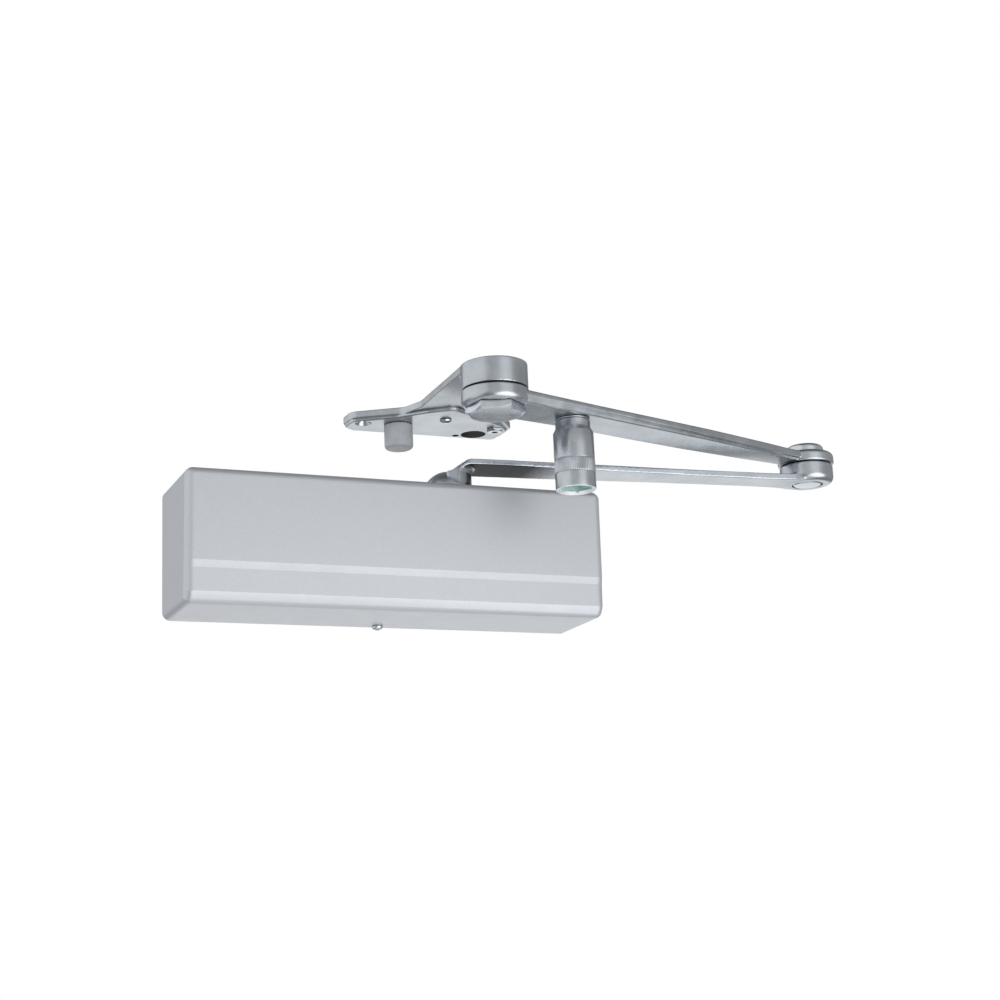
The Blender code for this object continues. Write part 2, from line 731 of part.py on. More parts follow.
def make_main_arm(material):
    """A forged arm: domed hub, joggle up to a tapered bar, and a boss for the elbow."""
    half = [(5.0, 17.8), (40.0, ARM_HALF_HUB), (205.0, ARM_HALF_ELBOW + 0.5), (262.0, ARM_HALF_ELBOW)]
    half += [(284.0, ARM_HALF_ELBOW + 1.5), (ARM_LENGTH - 4.0, 17.0), (ARM_LENGTH + 6.0, 14.0)]
    plan = [(-4.0, -15.0)] + [(along, -across) for along, across in half] + half[::-1] + [(-4.0, 15.0)]
    end = ARM_LENGTH + ELBOW_RADIUS
    side = rounded(
        [
            (-30.0, HUB_LOW + 3.0, 0.0),
            (HUB_REACH, HUB_LOW + 3.0, 0.0),
            (HUB_REACH, ARM_LOW_HUB, 0.0),
            (end, ARM_LOW_ELBOW, 0.0),
            (end, ARM_TOP_ELBOW, 0.0),
            (11.5, ARM_TOP_HUB, 7.0),
            (-1.5, 65.7, 4.0),
            (-30.0, 65.0, 0.0),
        ],
        3,
    )
    solid = swing_into_place(prism(plan, HUB_LOW - 10.0, SOFFIT), SPINDLE, ELBOW)
    arm = add_piece("main_arm", solid, material, (*SPINDLE, 0.0))
    combine(arm, "INTERSECT", swing_into_place(prism(side, -60.0, 60.0, "Y"), SPINDLE, ELBOW))
    trim = [
        (HUB_RADIUS - 0.6, HUB_LOW - 5.0),
        (HUB_REACH + 9.0, HUB_LOW - 5.0),
        (HUB_REACH + 9.0, ARM_LOW_HUB - 0.1),
        (HUB_RADIUS + 4.5, ARM_LOW_HUB - 0.1),
        (HUB_RADIUS + 1.2, ARM_LOW_HUB - 1.6),
        (HUB_RADIUS - 0.6, ARM_LOW_HUB - 6.0),
    ]
    cut(arm, turned(trim, SPINDLE))
    join(arm, turned(dome_profile(5), SPINDLE))
    x, y = ELBOW
    boss = [(0.0, ELBOW_LOW), (ELBOW_RADIUS - 3.2, ELBOW_LOW), (ELBOW_RADIUS - 1.0, ELBOW_LOW + 1.0)]
    boss += [(ELBOW_RADIUS, ELBOW_LOW + 3.2), (ELBOW_RADIUS, ELBOW_SEAM - 1.0)]
    boss += [(ELBOW_RADIUS - 0.8, ELBOW_SEAM - GAP), (0.0, ELBOW_SEAM - GAP)]
    join(arm, turned(boss, ELBOW))
    cut(arm, prism(circle(x, y, RIVET_HEAD + 0.4, 24), 60.0, RIVET_SHOULDER + GAP))
    cut(arm, prism(circle(x, y, RIVET_RADIUS + GAP, 24), 60.0, 90.0))
    cut(arm, prism(circle(*SPINDLE, HUB_RECESS, 24), HUB_SEAT, 90.0))
    square = SQUARE_HALF + GAP
    sx, sy = SPINDLE
    cut(arm, box((sx - square, sy - square, 40.0), (sx + square, sy + square, HUB_SEAT + 0.2)))
    return arm


def dome_profile(steps):
    """The hub's outline: a short cylinder that turns into a dome."""
    start = math.degrees(math.acos(HUB_RADIUS / DOME_RADIUS))
    dome = arc(0.0, DOME_CENTRE, DOME_RADIUS, start, 90.0, steps)
    return [(0.0, HUB_LOW), (HUB_RADIUS, HUB_LOW)] + dome[:-1] + [(0.0, DOME_CENTRE + DOME_RADIUS)]


def make_hub_fasteners(material):
    """Washer and screw, in the hub's recess, that hold the arm down on the spindle's square."""
    low = HUB_SEAT + GAP
    washer = [(3.6, low), (HUB_RECESS - 0.5, low), (HUB_RECESS - 0.5, low + 1.4), (3.6, low + 1.4)]
    add_piece("hub_washer", turned(washer, SPINDLE, steps=24), material, (*SPINDLE, 0.0))
    head = low + 1.4 + GAP
    profile = [(0.0, 53.0), (2.5, 53.0), (2.5, head), (5.0, head), (5.0, head + 3.2), (4.4, head + 3.8)]
    profile.append((0.0, head + 3.8))
    screw = add_piece("hub_screw", turned(profile, SPINDLE, steps=24), material, (*SPINDLE, 0.0))
    cut(screw, prism(circle(*SPINDLE, 2.4, 6), head + 1.6, head + 9.0))


def make_elbow_parts(steel, bronze):
    """The rivet through both elbow discs, its bush in the forearm, and the cap on top."""
    profile = [(0.0, RIVET_LOW), (RIVET_HEAD - 1.2, RIVET_LOW), (RIVET_HEAD, RIVET_LOW + 1.0)]
    profile += [(RIVET_HEAD, RIVET_SHOULDER), (RIVET_RADIUS, RIVET_SHOULDER), (RIVET_RADIUS, ELBOW_TOP)]
    profile += [(RIVET_TENON, ELBOW_TOP), (RIVET_TENON, RIVET_TOP), (0.0, RIVET_TOP)]
    add_piece("elbow_pin", turned(profile, ELBOW, steps=24), steel, (*ELBOW, 0.0))
    low = ELBOW_TOP + GAP
    pocket = RIVET_TENON + GAP
    top = low + CAP_HEIGHT
    cap = [(0.0, RIVET_TOP + GAP), (pocket, RIVET_TOP + GAP), (pocket, low), (CAP_RADIUS, low)]
    cap += [(CAP_RADIUS, top - 3.5), (CAP_RADIUS - 1.2, top - 1.2), (CAP_RADIUS - 3.5, top), (0.0, top)]
    add_piece("elbow_cap", turned(cap, ELBOW, steps=24), steel, (*ELBOW, 0.0))
    inner = RIVET_RADIUS + GAP
    bush = [(inner, ELBOW_SEAM + GAP), (9.7, ELBOW_SEAM + GAP), (9.7, ELBOW_TOP), (inner, ELBOW_TOP)]
    add_piece("elbow_bush", turned(bush, ELBOW, steps=24), bronze, (*ELBOW, 0.0))


# Forearm


def forearm_section(half, parting, low):
    """The bar's section as (across, height): upright above the parting line, leaning in below it."""
    side = [(half - FOREARM_LEAN, low), (half, parting), (half, FOREARM_TOP - 1.0), (half - 1.0, FOREARM_TOP)]
    return side + [(-across, height) for across, height in reversed(side)]


def make_forearm(material):
    """A tapered bar from the bracket pivot to the elbow, with a disc at each end."""
    rows = FOREARM_SECTIONS + [(FOREARM_LENGTH, *FOREARM_SECTIONS[-1][1:])]
    bar = loft([(forearm_section(*row[1:]), row[0]) for row in rows], "X")
    forearm = add_piece("forearm", swing_into_place(bar, PIVOT, ELBOW), material, (*PIVOT, 0.0))
    disc = [
        (0.0, PIVOT_DISC_LOW),
        (PIVOT_RADIUS - 4.6, PIVOT_DISC_LOW),
        (PIVOT_RADIUS - 1.4, PIVOT_DISC_LOW + 1.9),
        (PIVOT_RADIUS, PIVOT_DISC_LOW + 5.2),
        (PIVOT_RADIUS, PIVOT_DISC_TOP),
        (0.0, PIVOT_DISC_TOP),
    ]
    join(forearm, turned(disc, PIVOT))
    low = ELBOW_SEAM + GAP
    disc = [
        (0.0, low),
        (FOREARM_DISC - 0.8, low),
        (FOREARM_DISC, low + 1.0),
        (FOREARM_DISC, ELBOW_TOP - 4.2),
        (FOREARM_DISC - 1.3, ELBOW_TOP - 1.6),
        (FOREARM_DISC - 4.2, ELBOW_TOP),
        (0.0, ELBOW_TOP),
    ]
    join(forearm, turned(disc, ELBOW))
    bores = [
        prism(circle(*PIVOT, BUSH_RADIUS + GAP, 24), 70.0, 110.0),
        prism(circle(*ELBOW, 10.0, 24), 70.0, 110.0),
        prism(circle(*KNOB, 5.3, 16), 70.0, STUD_TOP + GAP),
    ]
    cut(forearm, merged(bores))
    return forearm


def make_knob_stud(material):
    """The fixed stud of the hold-open knob: collar against the forearm and a shank inside the sleeve."""
    step = SLEEVE_BORE_TOP + GAP
    collar_low = KNOB_TOP + GAP
    collar_top = COLLAR_TOP
    profile = [
        (0.0, STUD_LOW),
        (3.6, STUD_LOW),
        (4.0, STUD_LOW + 0.4),
        (4.0, step),
        (6.0, step),
        (6.0, collar_low),
        (KNOB_NECK - 0.5, collar_low),
        (KNOB_NECK, collar_low + 0.5),
        (KNOB_NECK, collar_top),
        (5.0, collar_top),
        (5.0, STUD_TOP),
        (0.0, STUD_TOP),
    ]
    return add_piece("knob_stud", turned(profile, KNOB, steps=24), material, (*KNOB, 0.0))


def make_knob_nut(material):
    """The retaining nut on the stud's end, inside the sleeve."""
    x, y = KNOB
    low = SOCKET_TOP + 0.6
    nut = add_piece("knob_nut", prism(circle(x, y, 8.0, 6), low, low + 6.0), material, (*KNOB, 0.0))
    cut(nut, prism(circle(x, y, 4.3, 20), 40.0, 60.0))
    return nut


def make_hold_open_knob(material):
    """The sleeve that is turned by hand: neck, shoulder, knurled band and an open hexagon socket below."""
    x, y = KNOB
    profile = [
        (0.0, KNOB_LOW),
        (KNOB_RADIUS - 0.8, KNOB_LOW),
        (KNOB_RADIUS, KNOB_LOW + 0.8),
        (KNOB_RADIUS, KNOB_BAND_LOW),
        (KNOB_RADIUS + 0.3, KNOB_BAND_LOW + 0.3),
        (KNOB_RADIUS + 0.3, KNOB_BAND_HIGH - 0.3),
        (KNOB_RADIUS, KNOB_BAND_HIGH),
        (KNOB_RADIUS, KNOB_SHOULDER),
        (KNOB_NECK, KNOB_NECK_LOW),
        (KNOB_NECK, KNOB_TOP - 0.5),
        (KNOB_NECK - 0.5, KNOB_TOP),
        (0.0, KNOB_TOP),
    ]
    knob = add_piece("hold_open_knob", turned(profile, KNOB), material, (*KNOB, 0.0))
    cut(knob, prism(circle(x, y, SOCKET_CORNER, 6), KNOB_LOW - 5.0, SOCKET_TOP))
    cut(knob, prism(circle(x, y, SLEEVE_BORE, 24), KNOB_LOW - 5.0, SLEEVE_BORE_TOP))
    cut(knob, prism(circle(x, y, 6.3, 24), KNOB_LOW, 90.0))
    return knob


# Bracket


def make_soffit_bracket(material):
    """The bracket that screws under the frame: plate, thicker pad, and the boss over the forearm."""
    boss_x, boss_y = PIVOT
    lip = BOSS_RADIUS - 0.5
    outline = rounded(
        [
            (-13.0, -4.0, 3.0),
            (-22.5, -10.0, 6.0),
            (-21.5, -28.0, 8.0),
            (14.0, -50.0, 12.0),
            (20.5, -68.0, 16.0),
            (boss_x - lip, boss_y - lip, lip - 1.5),
            (boss_x + lip, boss_y - lip, lip - 1.5),
            (64.0, -72.0, 14.0),
            (98.0, -47.0, 6.0),
            (108.5, -33.0, 6.0),
            (108.5, -6.0, 5.0),
        ],
        6,
    )
    bracket = add_piece("soffit_bracket", prism(outline, PLATE_LOW, SOFFIT), material, (*PIVOT, 0.0))
    pad = rounded(
        [
            (-13.0, -5.0, 2.0),
            (-21.3, -11.0, 5.0),
            (-20.3, -27.2, 7.0),
            (9.0, -45.5, 12.0),
            (28.0, -64.0, 8.0),
            (45.0, -76.0, 8.0),
            (62.0, -66.0, 10.0),
            (95.0, -45.5, 8.0),
            (105.5, -32.0, 6.0),
            (103.5, -7.0, 4.0),
        ],
        6,
    )
    join(bracket, prism(pad, PAD_LOW, PLATE_LOW + 2.0))
    boss = [(0.0, BOSS_LOW), (BOSS_RADIUS - 0.8, BOSS_LOW), (BOSS_RADIUS, BOSS_LOW + 0.8)]
    boss += [(BOSS_RADIUS, SOFFIT), (0.0, SOFFIT)]
    join(bracket, turned(boss, PIVOT))
    cut(bracket, prism(circle(*PIVOT, BOLT_SHANK + GAP, 28), 80.0, BOLT_TOP + 1.0))
    holes = [(COUNTERSINK, 3.2), (SMALL_HOLE, 2.6), (TOOL_HOLE, 9.8), (INSERT, 4.3)]
    drills = [prism(circle(x, y, radius, 20), 90.0, 120.0) for (x, y), radius in holes]
    cut(bracket, merged(drills))
    cone = [(0.0, 100.0), (6.2, 100.0), (6.2, PAD_LOW + 0.5), (2.0, 110.0), (0.0, 110.0)]
    cut(bracket, turned(cone, COUNTERSINK, steps=20))
    cut(bracket, prism(circle(*BRACKET_SCREW, 2.8, 16), 90.0, 111.5))
    cut(bracket, prism(circle(*BUMPER, 3.3, 16), 90.0, 112.0))
    return bracket


def make_bracket_screw(material):
    low = PAD_LOW - GAP
    profile = [(0.0, low - 2.6), (2.2, low - 2.3), (4.0, low - 1.3), (4.8, low), (2.5, low)]
    profile += [(2.5, 111.0), (0.0, 111.0)]
    return add_piece("bracket_screw", turned(profile, BRACKET_SCREW, steps=20), material, (*PIVOT, 0.0))


def make_threaded_insert(material):
    """A hexagon insert pressed up into the pad, with a through hole."""
    x, y = INSERT
    barrel = prism(circle(x, y, 4.0, 20), PAD_LOW - 2.0, 112.5)
    insert = add_piece("threaded_insert", barrel, material, (*PIVOT, 0.0))
    join(insert, prism(circle(x, y, 7.0, 6), PAD_LOW - GAP - 4.0, PAD_LOW - GAP))
    cut(insert, prism(circle(x, y, 2.4, 16), 90.0, 120.0))
    return insert


def make_bumper(rubber, steel):
    """The rubber stop, with the blind pocket that its stud is bonded into."""
    top = PAD_LOW - GAP
    profile = [
        (0.0, BUMPER_POCKET),
        (3.4, BUMPER_POCKET),
        (3.4, top),
        (BUMPER_RADIUS, top),
        (BUMPER_RADIUS, BUMPER_LOW + 2.8),
        (BUMPER_RADIUS - 0.7, BUMPER_LOW + 0.8),
        (BUMPER_RADIUS - 2.5, BUMPER_LOW),
        (0.0, BUMPER_LOW),
    ]
    add_piece("bumper", turned(profile, BUMPER, steps=24), rubber, (*PIVOT, 0.0))
    low = BUMPER_POCKET + GAP
    stud = [(0.0, low), (3.0, low), (3.0, 111.6), (0.0, 111.6)]
    add_piece("bumper_stud", turned(stud, BUMPER, steps=16), steel, (*PIVOT, 0.0))


def make_pivot_parts(steel, bronze):
    """The big hexagon bolt, its bush in the forearm and the thrust washer under the boss."""
    x, y = PIVOT
    inner = BOLT_SHANK + GAP
    low, top = PIVOT_DISC_LOW + GAP, PIVOT_DISC_TOP - GAP
    bush = [(inner, low), (BUSH_RADIUS, low), (BUSH_RADIUS, top), (inner, top)]
    add_piece("pivot_bush", turned(bush, PIVOT, steps=24), bronze, (*PIVOT, 0.0))
    low, top = PIVOT_DISC_TOP + GAP, BOSS_LOW - GAP
    washer = [(inner, low), (22.0, low), (22.0, top), (inner, top)]
    add_piece("pivot_washer", turned(washer, PIVOT, steps=24), bronze, (*PIVOT, 0.0))
    top = PIVOT_DISC_LOW - GAP
    head = prism(circle(x, y, BOLT_CORNER, 6, BOLT_TURN), BOLT_LOW, top)
    bolt = add_piece("pivot_bolt", head, steel, (*PIVOT, 0.0))
    cone = [(0.0, BOLT_LOW - 1.0), (BOLT_FACE - 1.8, BOLT_LOW - 1.0), (BOLT_CORNER + 1.0, BOLT_LOW + 2.8)]
    cone += [(BOLT_CORNER + 1.0, top + 1.0), (0.0, top + 1.0)]
    combine(bolt, "INTERSECT", turned(cone, PIVOT))
    join(bolt, prism(circle(x, y, BOLT_SHANK, 28), 80.0, BOLT_TOP))
    return bolt


def make_all():
    paint = make_material("silver_paint", (0.50, 0.51, 0.54), 0.42, 0.35)
    cast = make_material("cast_aluminium", (0.42, 0.43, 0.45), 0.5, 0.9)
    zinc = make_material("satin_zinc", (0.40, 0.43, 0.46), 0.34, 0.95)
    steel = make_material("bright_steel", (0.55, 0.57, 0.60), 0.25, 1.0)
    plated = make_material("plated_knob", (0.42, 0.46, 0.50), 0.3, 1.0)
    spring_steel = make_material("spring_steel", (0.16, 0.16, 0.17), 0.4, 0.9)
    rubber = make_material("grey_rubber", (0.27, 0.28, 0.30), 0.6, 0.0)
    seal = make_material("black_seal", (0.02, 0.02, 0.02), 0.6, 0.0)
    bronze = make_material("bearing_bronze", (0.45, 0.30, 0.14), 0.4, 0.9)

    make_closer_body(cast)
    make_cover(paint)
    make_cover_screw(steel)
    make_head_end_cap(cast)
    make_spring_end_cap(cast)
    make_cap_seal("head_cap_seal", 1, seal)
    make_cap_seal("spring_cap_seal", -1, seal)
    for name in VALVE_ANGLES:
        make_valve(name, bronze)
    make_spring_adjuster(steel)
    make_spring_seat(steel)
    make_spring(spring_steel)
    make_tower_stack("upper", 1, steel, seal)
    make_tower_stack("lower", -1, steel, seal)
    make_pinion_shaft(steel)
    make_rack_piston(cast)
    make_check_ball(steel)
    make_main_arm(zinc)
    make_hub_fasteners(steel)
    make_elbow_parts(steel, bronze)
    make_forearm(zinc)
    make_knob_stud(plated)
    make_knob_nut(steel)
    make_hold_open_knob(plated)
    make_soffit_bracket(zinc)
    make_bracket_screw(steel)
    make_threaded_insert(steel)
    make_bumper(rubber, steel)
    make_pivot_parts(steel, bronze)


clear_scene()
make_all()
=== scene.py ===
"""Looks for the door closer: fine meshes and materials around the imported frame.

Sizes are in millimetres in the part's own frame: X along the door, +Y into the door, +Z up.
Every mesh is made in metres. Places of joints and heights of pieces are read from the frame.
"""

import json
import math

import bmesh
import bpy
from mathutils import Matrix, Vector


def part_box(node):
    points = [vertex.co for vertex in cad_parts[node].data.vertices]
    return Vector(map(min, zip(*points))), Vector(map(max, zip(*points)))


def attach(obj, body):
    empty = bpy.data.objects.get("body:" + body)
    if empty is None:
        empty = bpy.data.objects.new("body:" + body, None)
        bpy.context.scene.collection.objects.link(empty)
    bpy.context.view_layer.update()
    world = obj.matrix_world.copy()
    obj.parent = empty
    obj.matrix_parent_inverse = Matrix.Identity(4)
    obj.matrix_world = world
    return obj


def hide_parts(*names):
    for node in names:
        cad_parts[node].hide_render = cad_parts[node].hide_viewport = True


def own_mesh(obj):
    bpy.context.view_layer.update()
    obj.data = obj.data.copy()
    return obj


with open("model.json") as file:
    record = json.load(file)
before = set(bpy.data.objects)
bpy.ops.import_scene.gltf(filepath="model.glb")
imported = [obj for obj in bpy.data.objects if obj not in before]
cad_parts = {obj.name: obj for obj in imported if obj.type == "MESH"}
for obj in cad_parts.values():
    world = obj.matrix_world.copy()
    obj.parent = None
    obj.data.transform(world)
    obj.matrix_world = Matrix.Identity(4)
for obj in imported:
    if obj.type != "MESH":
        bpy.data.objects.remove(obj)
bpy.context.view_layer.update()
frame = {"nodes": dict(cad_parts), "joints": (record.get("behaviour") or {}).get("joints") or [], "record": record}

MM = 0.001
GAP = 0.3
JOINTS = {joint["name"]: joint for joint in frame["joints"]}


def axis_of(joint):
    x, y, _ = JOINTS[joint]["pos_m"]
    return x / MM, y / MM


def low_of(node):
    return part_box(node)[0].z / MM


def high_of(node):
    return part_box(node)[1].z / MM


SPINDLE = axis_of("main_arm_turn")
ELBOW = axis_of("elbow_fold")
PIVOT = axis_of("bracket_swivel")
KNOB = axis_of("knob_turn")
ARM_LENGTH = math.dist(SPINDLE, ELBOW)
FOREARM_LENGTH = math.dist(PIVOT, ELBOW)

# Cover
COVER_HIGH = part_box("cover")[1] / MM
HALF_LENGTH = COVER_HIGH.x
HALF_HEIGHT = COVER_HIGH.z
COVER_DEPTH = 79.8
COVER_BACK = 4.5
COVER_WALL = 2.5
COVER_EDGE = 6.0
COVER_NOTCH = 12.0

# Arms
HUB_RADIUS = 18.8
HUB_LOW = low_of("main_arm")
HUB_REACH = 25.5
HUB_RECESS = 7.6
HUB_SEAT = 60.5
DOME_RADIUS = 19.9
DOME_CENTRE = 48.6
ARM_LOW_HUB = 70.75
ARM_LOW_ELBOW = 68.4
ARM_TOP_HUB = 75.2
ARM_TOP_ELBOW = 73.6
ARM_HALF_HUB = 18.2
ARM_HALF_ELBOW = 12.5
ELBOW_RADIUS = 21.3
ELBOW_LOW = 68.3
ARM_BOSS_TOP = high_of("main_arm")
FOREARM_TOP = 92.1
FOREARM_LEAN = 2.5
FOREARM_DISC = 22.5
ELBOW_DISC_LOW = ARM_BOSS_TOP + 0.6
ELBOW_DISC_TOP = low_of("elbow_cap") - GAP
PIVOT_RADIUS = 24.4
PIVOT_DISC_LOW = low_of("forearm")
PIVOT_DISC_TOP = high_of("forearm")

# The forearm's bar, as (distance from the pivot, half width, height of the parting line, underside)
FOREARM_SECTIONS = [
    (8.0, 22.5, 88.8, 83.3),
    (32.0, 21.5, 88.8, 83.5),
    (82.0, 20.0, 88.8, 84.2),
    (143.0, 19.2, 88.0, 84.0),
    (200.0, 18.0, 86.8, 84.0),
    (262.0, 14.8, 86.5, 84.2),
    (292.0, 12.5, 86.5, 84.3),
]

# Bracket
SOFFIT = high_of("soffit_bracket")
PLATE_LOW = SOFFIT - 5.5
PAD_LOW = SOFFIT - 8.0
BOSS_LOW = low_of("soffit_bracket")
BOSS_RADIUS = 24.0
COUNTERSINK = (-10.6, -25.0)
SMALL_HOLE = (70.0, -12.0)
TOOL_HOLE = (82.4, -18.5)

# Pins, bores and recesses
RIVET_SHOULDER = 71.1
RIVET_RADIUS = 7.0
RIVET_STEM = 5.0
CAP_POCKET = 96.4
STUD_THREAD = 5.0
STUD_RADIUS = 6.0
STUD_STEP = 51.9
CHAMBER_RADIUS = 8.6
SOCKET_TOP = 43.9
BUSH_BORE = 11.3
ELBOW_BORE = 10.0
DOME_SCREW_RADIUS = 2.5
DOME_SCREW_TOP = 111.0
BUMPER_BORE = 3.3
INSERT_LOW = 103.2
INSERT_HIGH = 105.45
INSERT_SHANK = 4.0
INSERT_TOP = 112.5

# Pivot bolt
BOLT_SHANK = 8.0
BOLT_TOP = 104.0
BOLT_CORNER = 21.8
BOLT_FACE = 18.0
BOLT_TURN = 38.0

# Spring
SPRING_WIRE = 2.5
SPRING_TURNS = 8

# Knob
KNOB_LOW = low_of("hold_open_knob")
KNOB_TOP = high_of("hold_open_knob")
KNOB_RADIUS = 14.8
KNOB_NECK = 12.8
KNOB_BAND_LOW = 42.5
KNOB_BAND_HIGH = 52.6
KNOB_SHOULDER = 73.6
KNOB_NECK_LOW = 76.8
COLLAR_TOP = 83.5
SOCKET_CORNER = 12.8
KNURLS = 64

CAMERA_AZIMUTH = math.radians(-23.16)
CAMERA_ELEVATION = math.radians(-14.30)
CAMERA_ROLL = math.radians(-2.506)
CAMERA_TARGET = (76.64, -80.0, 36.67)
CAMERA_DISTANCE = 1406.9
CAMERA_LENS = 67.77


# Outlines


def arc(centre_x, centre_y, radius, start, end, steps):
    """Points along an arc, with its angles in degrees and both ends included."""
    points = []
    for step in range(steps + 1):
        angle = math.radians(start + (end - start) * step / steps)
        points.append((centre_x + radius * math.cos(angle), centre_y + radius * math.sin(angle)))
    return points


def circle(centre_x, centre_y, radius, steps=64, turn=0.0):
    return arc(centre_x, centre_y, radius, turn, turn + 360.0, steps)[:-1]


def rounded(corners, quarter_steps=12):
    """A closed outline from corners given as (x, y, radius), with quarter_steps sides to a quarter turn."""
    points = []
    count = len(corners)
    for index, (x, y, radius) in enumerate(corners):
        if radius <= 0:
            points.append((x, y))
            continue
        before = corners[index - 1]
        after = corners[(index + 1) % count]
        in_x, in_y = x - before[0], y - before[1]
        out_x, out_y = after[0] - x, after[1] - y
        in_length = math.hypot(in_x, in_y)
        out_length = math.hypot(out_x, out_y)
        in_x, in_y = in_x / in_length, in_y / in_length
        out_x, out_y = out_x / out_length, out_y / out_length
        turn = math.atan2(in_x * out_y - in_y * out_x, in_x * out_x + in_y * out_y)
        reach = radius * math.tan(abs(turn) / 2)
        side = math.copysign(1.0, turn)
        centre_x = x - in_x * reach - in_y * radius * side
        centre_y = y - in_y * reach + in_x * radius * side
        start = math.atan2(-in_x * side, in_y * side)
        steps = max(1, math.ceil(quarter_steps * abs(turn) / (math.pi / 2) - 0.1))
        for step in range(steps + 1):
            angle = start + turn * step / steps
            points.append((centre_x + radius * math.cos(angle), centre_y + radius * math.sin(angle)))
    return points


def offset_corner(before, corner, after, distance_before, distance_after):
    """Where two sides meet once each has moved inward, for an outline that runs anticlockwise."""
    ax, ay = corner[0] - before[0], corner[1] - before[1]
    bx, by = after[0] - corner[0], after[1] - corner[1]
    a_length = math.hypot(ax, ay)
    b_length = math.hypot(bx, by)
    ax, ay, bx, by = ax / a_length, ay / a_length, bx / b_length, by / b_length
    px, py = corner[0] - ay * distance_before, corner[1] + ax * distance_before
    qx, qy = corner[0] - by * distance_after, corner[1] + bx * distance_after
    cross = ax * by - ay * bx
    if abs(cross) < 1e-6:
        return px, py
    along = ((qx - px) * by - (qy - py) * bx) / cross
    return px + ax * along, py + ay * along


def softened(profile, radius, steps=3):
    """A turned profile whose corners away from the axis are rounded a little."""
    points = [profile[0]]
    for index in range(1, len(profile) - 1):
        before = Vector(profile[index - 1])
        corner = Vector(profile[index])
        after = Vector(profile[index + 1])
        reach = min(radius, (corner - before).length * 0.45, (after - corner).length * 0.45)
        start = corner + (before - corner).normalized() * reach
        end = corner + (after - corner).normalized() * reach
        for step in range(steps + 1):
            share = step / steps
            point = start.lerp(corner, share).lerp(corner.lerp(end, share), share)
            points.append((max(point.x, 0.0), point.y))
    points.append(profile[-1])
    return points


# Solids


def to_axis(x, y, height, axis):
    if axis == "X":
        return (height * MM, x * MM, y * MM)
    if axis == "Y":
        return (x * MM, height * MM, y * MM)
    return (x * MM, y * MM, height * MM)


def loft(sections, axis="Z"):
    """A solid through sections of equal length, each given as (points, height)."""
    solid = bmesh.new()
    rings = []
    for points, height in sections:
        rings.append([solid.verts.new(to_axis(x, y, height, axis)) for x, y in points])
    for lower, upper in zip(rings, rings[1:]):
        for index in range(len(lower)):
            following = (index + 1) % len(lower)
            solid.faces.new((lower[index], lower[following], upper[following], upper[index]))
    solid.faces.new(reversed(rings[0]))
    solid.faces.new(rings[-1])
    bmesh.ops.recalc_face_normals(solid, faces=solid.faces)
    return solid


def prism(points, low, high, axis="Z"):
    return loft([(points, low), (points, high)], axis)


def turned(profile, centre=(0.0, 0.0), axis="Z", steps=96, ripple=None):
    """A solid of revolution from (radius, height) pairs; ripple changes a radius by height and angle."""
    solid = bmesh.new()
    rings = []
    for radius, height in profile:
        if radius < 1e-6:
            rings.append([solid.verts.new(to_axis(centre[0], centre[1], height, axis))])
            continue
        ring = []
        for step in range(steps):
            angle = 2 * math.pi * step / steps
            reach = radius + (ripple(height, angle) if ripple else 0.0)
            x = centre[0] + reach * math.cos(angle)
            y = centre[1] + reach * math.sin(angle)
            ring.append(solid.verts.new(to_axis(x, y, height, axis)))
        rings.append(ring)
    pairs = list(zip(rings, rings[1:]))
    if len(rings[0]) > 1 and len(rings[-1]) > 1:
        pairs.append((rings[-1], rings[0]))
    for first, second in pairs:
        for index in range(steps):
            following = (index + 1) % steps
            corners = [first[index % len(first)], first[following % len(first)]]
            corners += [second[following % len(second)], second[index % len(second)]]
            solid.faces.new(list(dict.fromkeys(corners)))
    bmesh.ops.recalc_face_normals(solid, faces=solid.faces)
    return solid


def box(low, high):
    x0, y0, z0 = low
    x1, y1, z1 = high
    return prism([(x0, y0), (x1, y0), (x1, y1), (x0, y1)], z0, z1)


def swing_into_place(solid, start, target):
    """Turn and move a solid made along +X from the origin so that it runs from start towards target."""
    angle = math.atan2(target[1] - start[1], target[0] - start[0])
    move = Matrix.Translation((start[0] * MM, start[1] * MM, 0.0))
    bmesh.ops.transform(solid, verts=solid.verts, matrix=move @ Matrix.Rotation(angle, 4, "Z"))
    return solid


# Objects


def add_object(name, solid):
    mesh = bpy.data.meshes.new(name)
    solid.to_mesh(mesh)
    solid.free()
    thing = bpy.data.objects.new(name, mesh)
    bpy.context.scene.collection.objects.link(thing)
    return thing


def apply_modifiers(thing):
    """Put the evaluated mesh in place of the object's own, and drop its modifiers."""
    graph = bpy.context.evaluated_depsgraph_get()
    mesh = bpy.data.meshes.new_from_object(thing.evaluated_get(graph))
    thing.modifiers.clear()
    old = thing.data
    thing.data = mesh
    bpy.data.meshes.remove(old)


def combine(thing, operation, solid):
    tool = add_object("tool", solid)
    modifier = thing.modifiers.new("combine", "BOOLEAN")
    modifier.operation = operation
    modifier.solver = "EXACT"
    modifier.object = tool
    apply_modifiers(thing)
    bpy.data.objects.remove(tool, do_unlink=True)


def cut(thing, solid):
    combine(thing, "DIFFERENCE", solid)


def join(thing, solid):
    combine(thing, "UNION", solid)


def forge(thing, voxel=0.6, smoothing=8):
    """Give a solid the soft edges and hollows of a forging, by remeshing it finely and relaxing it."""
    remesh = thing.modifiers.new("remesh", "REMESH")
    remesh.mode = "VOXEL"
    remesh.voxel_size = voxel * MM
    smooth = thing.modifiers.new("smooth", "SMOOTH")
    smooth.factor = 0.5
    smooth.iterations = smoothing
    apply_modifiers(thing)


